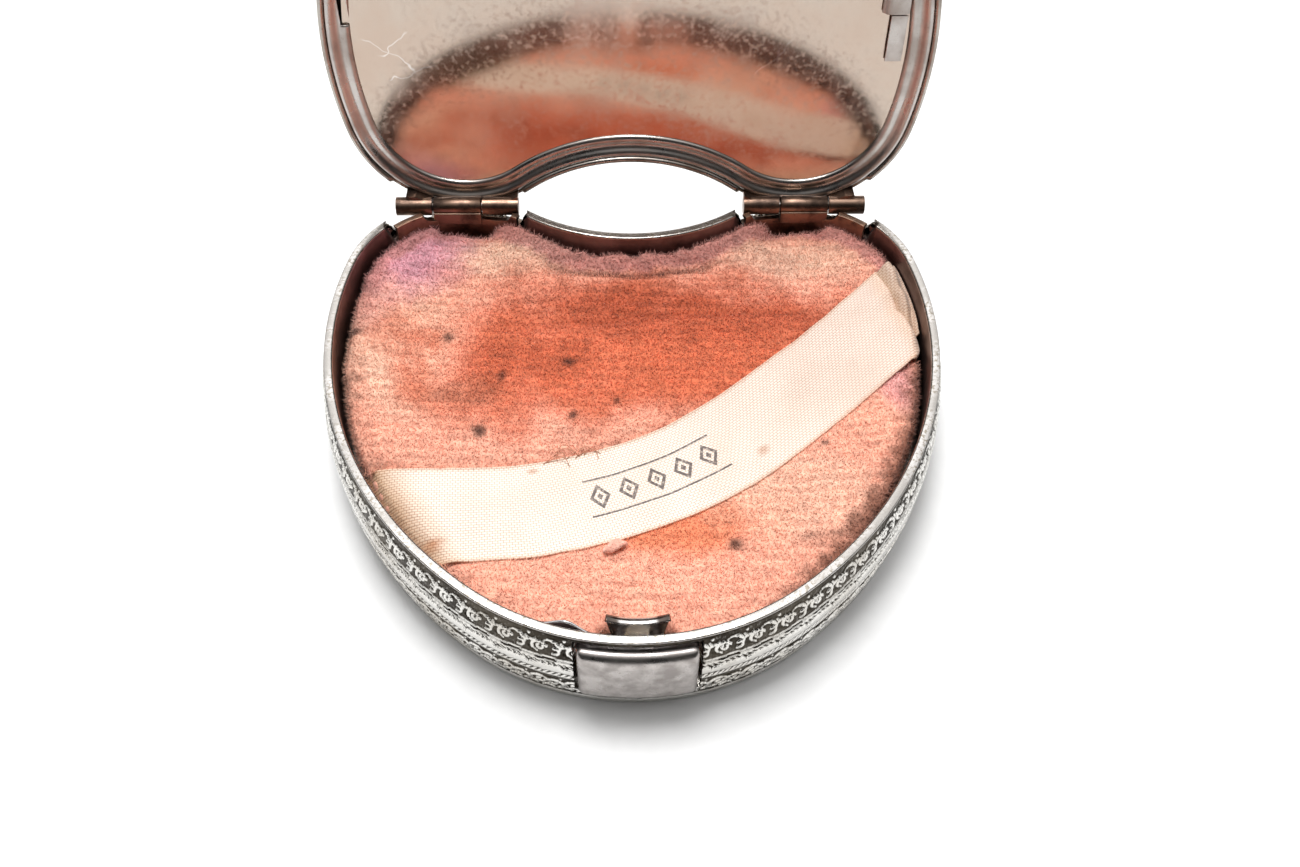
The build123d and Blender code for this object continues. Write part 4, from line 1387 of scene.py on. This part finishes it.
# Lid -------------------------------------------------------------------------------------------

LID_Z, LID_WALL, LID_T, LID_SHOULDER = RIM_Z + 0.1, 3.2, 0.5, 1.6
LID_TOP = LID_Z + 4.5
LID_BULGE, DOME_RISE, ENGRAVING = 0.3, 0.75, 0.13
MIRROR_Z = 10.95  # face of the mirror on the closed lid


def lid_engraving(share, s):
    """Height of the engine-turned back, 0 to 1, by share of the way out and place round the heart."""
    rays = 0.5 + 0.5 * np.cos(2 * np.pi * 48 * s / (2 * HALF))
    waves = 0.5 + 0.5 * np.cos(2 * np.pi * (share * 26 + 0.35 * np.cos(2 * np.pi * 24 * s / (2 * HALF))))
    field = np.where(share > 0.62, 0.25 + 0.75 * rays, 0.15 + 0.85 * waves)
    for low, high in ((0.9, 1.0), (0.60, 0.64), (0.26, 0.29)):
        band = smooth(share, low - 0.01, low) * smooth(-share, -high - 0.01, -high)
        field = field * (1 - band) + band
    plain = smooth(-share, -0.255, -0.245)
    return field * (1 - plain) + 0.55 * plain


def make_lid_shell():
    count = 480
    s = np.linspace(-HALF, HALF, count, endpoint=False)
    x, y = rim(s)[0].T
    over_hinge = (y > 0) & (np.abs(x) > NOTCH_NEAR) & (np.abs(x) < NOTCH_FAR)
    foot = LID_Z + np.where(over_hinge, 0.5, 0.0)
    rows = []
    for t in np.linspace(0, 1, 9):
        z = foot + (LID_Z + LID_WALL - foot) * t
        rows.append(along_rim(s, LID_BULGE * (1 - (2 * t - 1) ** 2), z))
    edge_z = LID_TOP - DOME_RISE
    for t in np.linspace(0, math.pi / 2, 9)[1:]:
        out = -LID_SHOULDER * (1 - math.cos(t))
        z = LID_Z + LID_WALL + (edge_z - LID_Z - LID_WALL) * math.sin(t)
        rows.append(along_rim(s, out, z))
    border = along_rim(s, -LID_SHOULDER, 0)[:, :2]
    middle = np.array([0.0, -2.5])
    for share in np.linspace(1, 0, 82)[1:-1]:
        flat = middle + (border - middle) * share
        rise = DOME_RISE * (1 - share ** 2.5)
        groove = ENGRAVING * (lid_engraving(np.full(count, share), s) - 1) * smooth(share, 0, 0.1)
        rows.append(np.column_stack([flat, edge_z + rise + groove]))
    points = np.vstack(rows + [np.array([[0, middle[1], LID_TOP - ENGRAVING * 0.45]])])
    faces = [tuple(f) for f in grid_faces(len(rows), count, wrap_columns=True).tolist()]
    last, top = (len(rows) - 1) * count, len(points) - 1
    faces += [(last + i, top, last + (i + 1) % count) for i in range(count)]
    shell = mesh_piece("lid_shell_domed", opened(points), faces, SHELL_METAL)
    work = bmesh.new()
    work.from_mesh(shell.data)
    bmesh.ops.recalc_face_normals(work, faces=work.faces)
    outward = sum((f.normal.dot(f.calc_center_median() - Vector(opened([[0, 0, 11]])[0] * MM))
                   for f in work.faces))
    if outward < 0:
        bmesh.ops.reverse_faces(work, faces=work.faces)
    work.to_mesh(shell.data)
    work.free()
    hand_over(walled(shell, LID_T, -1), "lid", "plain_nickel", "lid_shell")


def make_bezel():
    """Pressed strip that holds the mirror: a bead at the wall, a hollow and a lip on the glass."""
    z = MIRROR_Z
    upper = [(-0.52, z - 0.62), (-0.8, z - 0.72), (-1.1, z - 0.62), (-1.4, z - 0.34), (-1.75, z - 0.24),
             (-2.05, z - 0.34), (-2.35, z - 0.36), (-2.6, z - 0.2), (-2.68, z - 0.02)]
    lower = [(-2.4, z - 0.02), (-2.2, z - 0.12), (-1.9, z - 0.1), (-1.4, z - 0.1), (-0.9, z - 0.3),
             (-0.52, z - 0.3)]
    section = []
    for line in (upper, lower):
        line = np.array(line)
        t = np.linspace(0, len(line) - 1, len(line) * 3 - 2)
        drawn = np.column_stack([np.interp(t, np.arange(len(line)), c) for c in line.T])
        section += [drawn[0]] + list((drawn[:-2] + 2 * drawn[1:-1] + drawn[2:]) / 4) + [drawn[-1]]
    bezel = ring("mirror_bezel_rolled", section, BEZEL_METAL, spacing=0.5)
    catch_gap = block("gap", (-3.25, -40, 5), (3.25, -22.2, 15), BEZEL_METAL)
    slot = block("slot", (-27.0, -0.5, 5), (-26.15, 6, 15), BEZEL_METAL)
    cut(bezel, [catch_gap, slot])
    place_points(bezel, opened(points_of(bezel)))
    hand_over(bezel, "lid", "polished_nickel", "mirror_bezel")


def make_clip():
    """Tab folded over the mirror's right edge, and the flattened end of the bezel below it."""
    z = MIRROR_Z

    def tab_shape(points):
        x = points[:, 0]
        fold = smooth(-x, -23.9, -23.5)
        points[:, 2] += 0.36 * fold
        points[:, 2] -= 0.1 * np.cos((x - 24.7) * 1.2)
        return opened(points)

    tab = block("mirror_clip_tab", (23.4, -0.6, z - 0.72), (25.9, 4.7, z - 0.5), BEZEL_METAL,
                tab_shape, (12, 8, 1))
    softened(tab, 0.07)
    hand_over(tab, "lid", "polished_nickel", "mirror_clip")

    def strip_shape(points):
        points[:, 2] += 0.12 * smooth(points[:, 1], 8.2, 9.6)
        return opened(points)

    strip = block("bezel_end_flat", (24.3, 4.9, z - 0.5), (25.9, 9.6, z - 0.36), BEZEL_METAL,
                  strip_shape, (4, 8, 1))
    softened(strip, 0.05)
    hand_over(strip, "lid", "polished_nickel", "bezel_end_strip")


# Latch -----------------------------------------------------------------------------------------

def make_button():
    """Pillowed key with a deep bevel along its top and rounded lower corners."""
    low_x, high_x = BUTTON_LOW[0], BUTTON_HIGH[0]
    low_z, high_z = BUTTON_LOW[2], BUTTON_HIGH[2]
    corners = [(low_x, low_z), (high_x, low_z), (high_x, high_z), (low_x, high_z)]
    outline = rounded(corners, [1.0, 1.0, 0.5, 0.5], 9)
    spaced = []
    for a, b in zip(outline, outline[1:] + outline[:1]):
        count = max(1, round(np.linalg.norm(b - a) / 0.25))
        spaced += [a + (b - a) * i / count for i in range(count)]
    outline = np.array(spaced)
    middle = np.array([0, (low_z + high_z) / 2])
    shares = np.concatenate([[1, 1], 1 - np.linspace(0, 1, 34) ** 1.8 * 0.97])
    proud, back, front_radius = 1.25, -0.42, RIM_ARCS[0][0]

    def drop(gap, radius):
        t = np.clip(1 - gap / radius, 0, 1)
        return radius * (1 - np.sqrt(1 - t * t * 0.98))

    rows = []
    for k, share in enumerate(shares):
        x, z = (middle + (outline - middle) * share).T
        out = proud - 0.75 * drop(high_z - z, 1.15) - 0.8 * drop(z - low_z, 0.6)
        out = out - 0.7 * drop(high_x - np.abs(x), 0.5)
        out = np.full(len(x), back) if k == 0 else out
        s = np.arcsin(np.clip(x / (front_radius + 0.5), -1, 1)) * front_radius
        place = along_rim(s, out, z)
        place[:, 0] = x
        rows.append(place)
    faces = capped_faces(len(rows), len(outline))
    key = mesh_piece("latch_button_key", np.vstack(rows), faces, BUTTON_METAL, recalculate=True)
    for face in key.data.polygons:
        if len(face.vertices) > 10 and face.center.y / MM > TIP_Y:
            face.use_smooth = False
    hand_over(key, "latch", "satin_steel", "latch_button")


def make_catch():
    """Lug bent from strip: it rises behind the rim and its saddle-shaped top rolls forward."""
    low, high = box_of("latch_catch")
    across, radius, wall, flare = 41, 0.7, 0.3, 0.42
    a = np.linspace(-1, 1, across)[None, :]
    rise = np.linspace(low[2], high[2] - 0.12 - flare - radius, 16)
    roll = np.linspace(0, math.radians(98), 17)[1:]
    back = high[1] + 0.32
    z = np.concatenate([rise, rise[-1] + radius * np.sin(roll)])[:, None]
    y = np.concatenate([np.full(len(rise), back), back - radius * (1 - np.cos(roll))])[:, None]
    up = smooth(z, 7.2, 9.4)
    x = a * (2.2 + 0.35 * up)
    saddle = (1 - np.abs(a) ** 2.4) * up
    points = np.column_stack([x.ravel(), (y - 0.05 * np.abs(a) ** 3 * up).ravel(),
                              (z + flare - 0.72 * saddle - flare * (1 - up)).ravel()])
    lug = mesh_piece("latch_catch_saddle", points, grid_faces(len(z), across), CATCH_METAL_PAINTED_LIGHT)
    softened(walled(lug, wall, 0), 0.08, 3, 50)
    hand_over(lug, "latch", "polished_nickel", "latch_catch")


def make_leaf_spring():
    """Thin leaf behind the button, its left end bowed off the wall."""
    high = box_of("latch_spring")[1]
    rows, thickness, bow_place = 15, 0.18, -6.1
    half = high[0] * 1.02
    s = np.linspace(-half, half, 121)
    t = np.linspace(0, 1, rows)[:, None]
    tongue = 1 - smooth(np.abs(s), 2.8, 3.3)
    bottom = 6.4 - 2.2 * tongue
    bow = np.exp(-((s - bow_place) / 1.5) ** 2)
    curl = smooth(t, 0.75, 1.0)
    out = -1.0 - bow * (0.1 * t + 0.3 * curl)
    z = bottom + (high[2] - bottom) * t + (0.16 * bow - 0.55 * (1 - bow)) * curl
    points = np.vstack([along_rim(s, out[i], z[i]) for i in range(rows)])
    leaf = mesh_piece("leaf_spring_bowed", points, grid_faces(rows, len(s)), SPRING_METAL)
    hand_over(walled(leaf, thickness, 0), "base", "spring_strip", "latch_spring")


# Hinges ----------------------------------------------------------------------------------------

PIN_MIDDLE = (KNUCKLE_LOW[0] + KNUCKLE_HIGH[0]) / 2
LEAF_W = 13.5
BARREL_ROOM = 1.1  # round the pin, kept clear of the leaf


def s_at_x(x):
    """Place along the back of the rim where it crosses x."""
    s = np.linspace(HALF, HALF * 0.62, 400)
    return np.sign(x) * np.interp(abs(x), rim(s)[0][:, 0], s)


def rolled_barrel(name, x_low, x_high, radius, bore, seam):
    """Knuckle rolled from strip: a tube with a dark seam line where its edge meets the leaf."""
    turns, edge = 36, 0.08
    a = np.linspace(0, 2 * np.pi, turns, endpoint=False)
    dent = 0.09 * np.exp(-((((a - seam + np.pi) % (2 * np.pi)) - np.pi) / 0.13) ** 2)
    stations = (
        (x_low, radius - edge), (x_low + edge, radius), (x_high - edge, radius), (x_high, radius - edge),
        (x_high, bore), (x_low, bore),
    )
    points = []
    for x, size in stations:
        reach = size - (dent if size > bore else 0)
        points.append(np.column_stack([
            np.full(turns, x), HINGE_Y + reach * np.cos(a), HINGE_Z + reach * np.sin(a)
        ]))
    faces = grid_faces(len(stations), turns, wrap_rows=True, wrap_columns=True)
    barrel = mesh_piece(name, np.vstack(points), faces, HINGE_METAL, recalculate=True)
    barrel.data.set_sharp_from_angle(angle=math.radians(50))
    return barrel


def make_hinge(side, name):
    """Strip hinge: a dark leaf behind the notch, its middle knuckle and a small web beside the knuckle."""
    middle = side * PIN_MIDDLE
    ends = sorted(s_at_x(x) for x in (middle - LEAF_W / 2, middle + LEAF_W / 2))
    s = np.linspace(ends[0], ends[1], 40)
    front, back, lip_out, foot, lip = -1.24, -0.86, -0.58, 5.3, 8.3
    section = rounded([(back, foot), (front, foot), (front, lip), (lip_out, lip), (lip_out, lip - 0.3),
                       (back, lip - 0.35)], 0.08, 3)
    beside = HINGE_Y - along_rim(s, lip_out, 0)[:, 1]
    clear = HINGE_Z - np.sqrt(np.clip(BARREL_ROOM ** 2 - beside ** 2, 0, None)) - 0.05
    top = np.where(beside < BARREL_ROOM, np.minimum(clear, 9.3), 9.5)
    rows = [along_rim(s, out, z + (top - lip) * (z > 7)) for out, z in section]
    points = np.stack(rows, 1).reshape(-1, 3)
    leaf = mesh_piece(f"hinge_{name}_leaf", points, capped_faces(len(s), len(section)), HINGE_METAL,
                      recalculate=True)
    leaf.data.set_sharp_from_angle(angle=math.radians(40))
    hand_over(leaf, "base", "plain_nickel", f"hinge_{name}_base_knuckle")
    knuckle = rolled_barrel(f"hinge_{name}_middle_barrel", middle - 2.46, middle + 2.46,
                            radius=0.95, bore=0.5, seam=-2.0)
    hand_over(knuckle, "base", "plain_nickel")
    web = block(f"hinge_{name}_web", (middle - 2.45, HINGE_Y - 1.15, 7.9),
                (middle + 2.45, HINGE_Y - 0.5, 9.3), HINGE_METAL)
    hand_over(softened(web, 0.1), "base", "plain_nickel")


# Camera, light and floor -----------------------------------------------------------------------

CAMERA_PLACE = (-0.00114, -0.07001, 0.09428)
CAMERA_TURNS = ((-1.6855, "Y"), (37.556, "X"), (-1.4666, "Z"))  # degrees
SKY_MIDDLE = (0.0, 0.6, 0.8)  # the sky is brightest this way
SKY_SPREAD = (0.12, 0.95, 0.02, 1.35)  # least and most facing it, strength at each
# Lamps: place, size, power
LAMPS = {
    "overhead_softbox": ((-0.02, 0.055, 0.30), 0.12, 0.72),
    "back_window": ((0.0, 0.34, 0.24), 0.30, 0.30),
}


def make_camera():
    camera = bpy.data.cameras.new("camera")
    camera.sensor_width, camera.lens, camera.clip_start = 36.0, 33.3, 0.001
    holder = new_object("camera", camera)
    turned = Matrix.Translation(CAMERA_PLACE)
    for angle, axis in CAMERA_TURNS:
        turned = turned @ Matrix.Rotation(math.radians(angle), 4, axis)
    holder.matrix_world = turned
    bpy.context.scene.camera = holder


def make_light():
    """A sky that is dim low in front, a soft lamp overhead and a window behind."""
    world = bpy.data.worlds.new("studio")
    bpy.context.scene.world = world
    world.use_nodes = True
    nodes, links = world.node_tree.nodes, world.node_tree.links
    facing = nodes.new("ShaderNodeTexCoord").outputs["Generated"]
    towards = nodes.new("ShaderNodeVectorMath")
    towards.operation = "DOT_PRODUCT"
    towards.inputs[1].default_value = SKY_MIDDLE
    links.new(facing, towards.inputs[0])
    spread = nodes.new("ShaderNodeMapRange")
    spread.interpolation_type = "SMOOTHSTEP"
    for socket, value in zip(spread.inputs[1:5], SKY_SPREAD):
        socket.default_value = value
    links.new(towards.outputs["Value"], spread.inputs[0])
    sky = nodes["Background"]
    sky.inputs["Color"].default_value = (1.0, 0.995, 0.985, 1)
    links.new(spread.outputs[0], sky.inputs["Strength"])

    for name, (place, size, power) in LAMPS.items():
        light = bpy.data.lights.new(name, "AREA")
        light.energy, light.size = power, size
        lamp = new_object(name, light)
        lamp.location = place
        lamp.rotation_mode = "QUATERNION"
        lamp.rotation_quaternion = (-Vector(place)).to_track_quat("-Z", "Y")
    bpy.context.scene.view_settings.view_transform = "Standard"


def make_floor():
    f = Finish("pale_floor", roughness=0.7)
    paper = f.mix(f.span(f.noise(3.0, 3), 0.3, 0.7), (0.93, 0.93, 0.93), (0.9, 0.9, 0.9))
    reach, low = 1500.0, -0.02
    corners = [(-reach, -reach, low), (reach, -reach, low), (reach, reach, low), (-reach, reach, low)]
    mesh_piece("floor", corners, [(0, 1, 2, 3)], f.use(Base_Color=paper))


# Finishes of the CAD nodes that are shown as they are
PLAIN_NODES = {
    "bottom_plate": SHELL_METAL, "powder_pan": BRASS, "powder_cake": POWDER, "mirror_glass": MIRROR,
    "mirror_backing_card": CARD, "lid_striker": SHELL_METAL, "latch_rivets": PIN_METAL,
    "spring_rivets": PIN_METAL, "hinge_left_lid_knuckles": HINGE_METAL,
    "hinge_right_lid_knuckles": HINGE_METAL, "hinge_left_pin": PIN_METAL, "hinge_right_pin": PIN_METAL,
}

make_camera()
make_light()
make_floor()
make_side_band()
make_collar()
make_strap(make_puff())
make_lid_shell()
make_bezel()
make_clip()
make_button()
make_catch()
make_leaf_spring()
make_hinge(-1, "left")
make_hinge(1, "right")
for node, metal in PLAIN_NODES.items():
    mesh = frame["nodes"][node].data
    mesh.materials.clear()
    mesh.materials.append(metal)
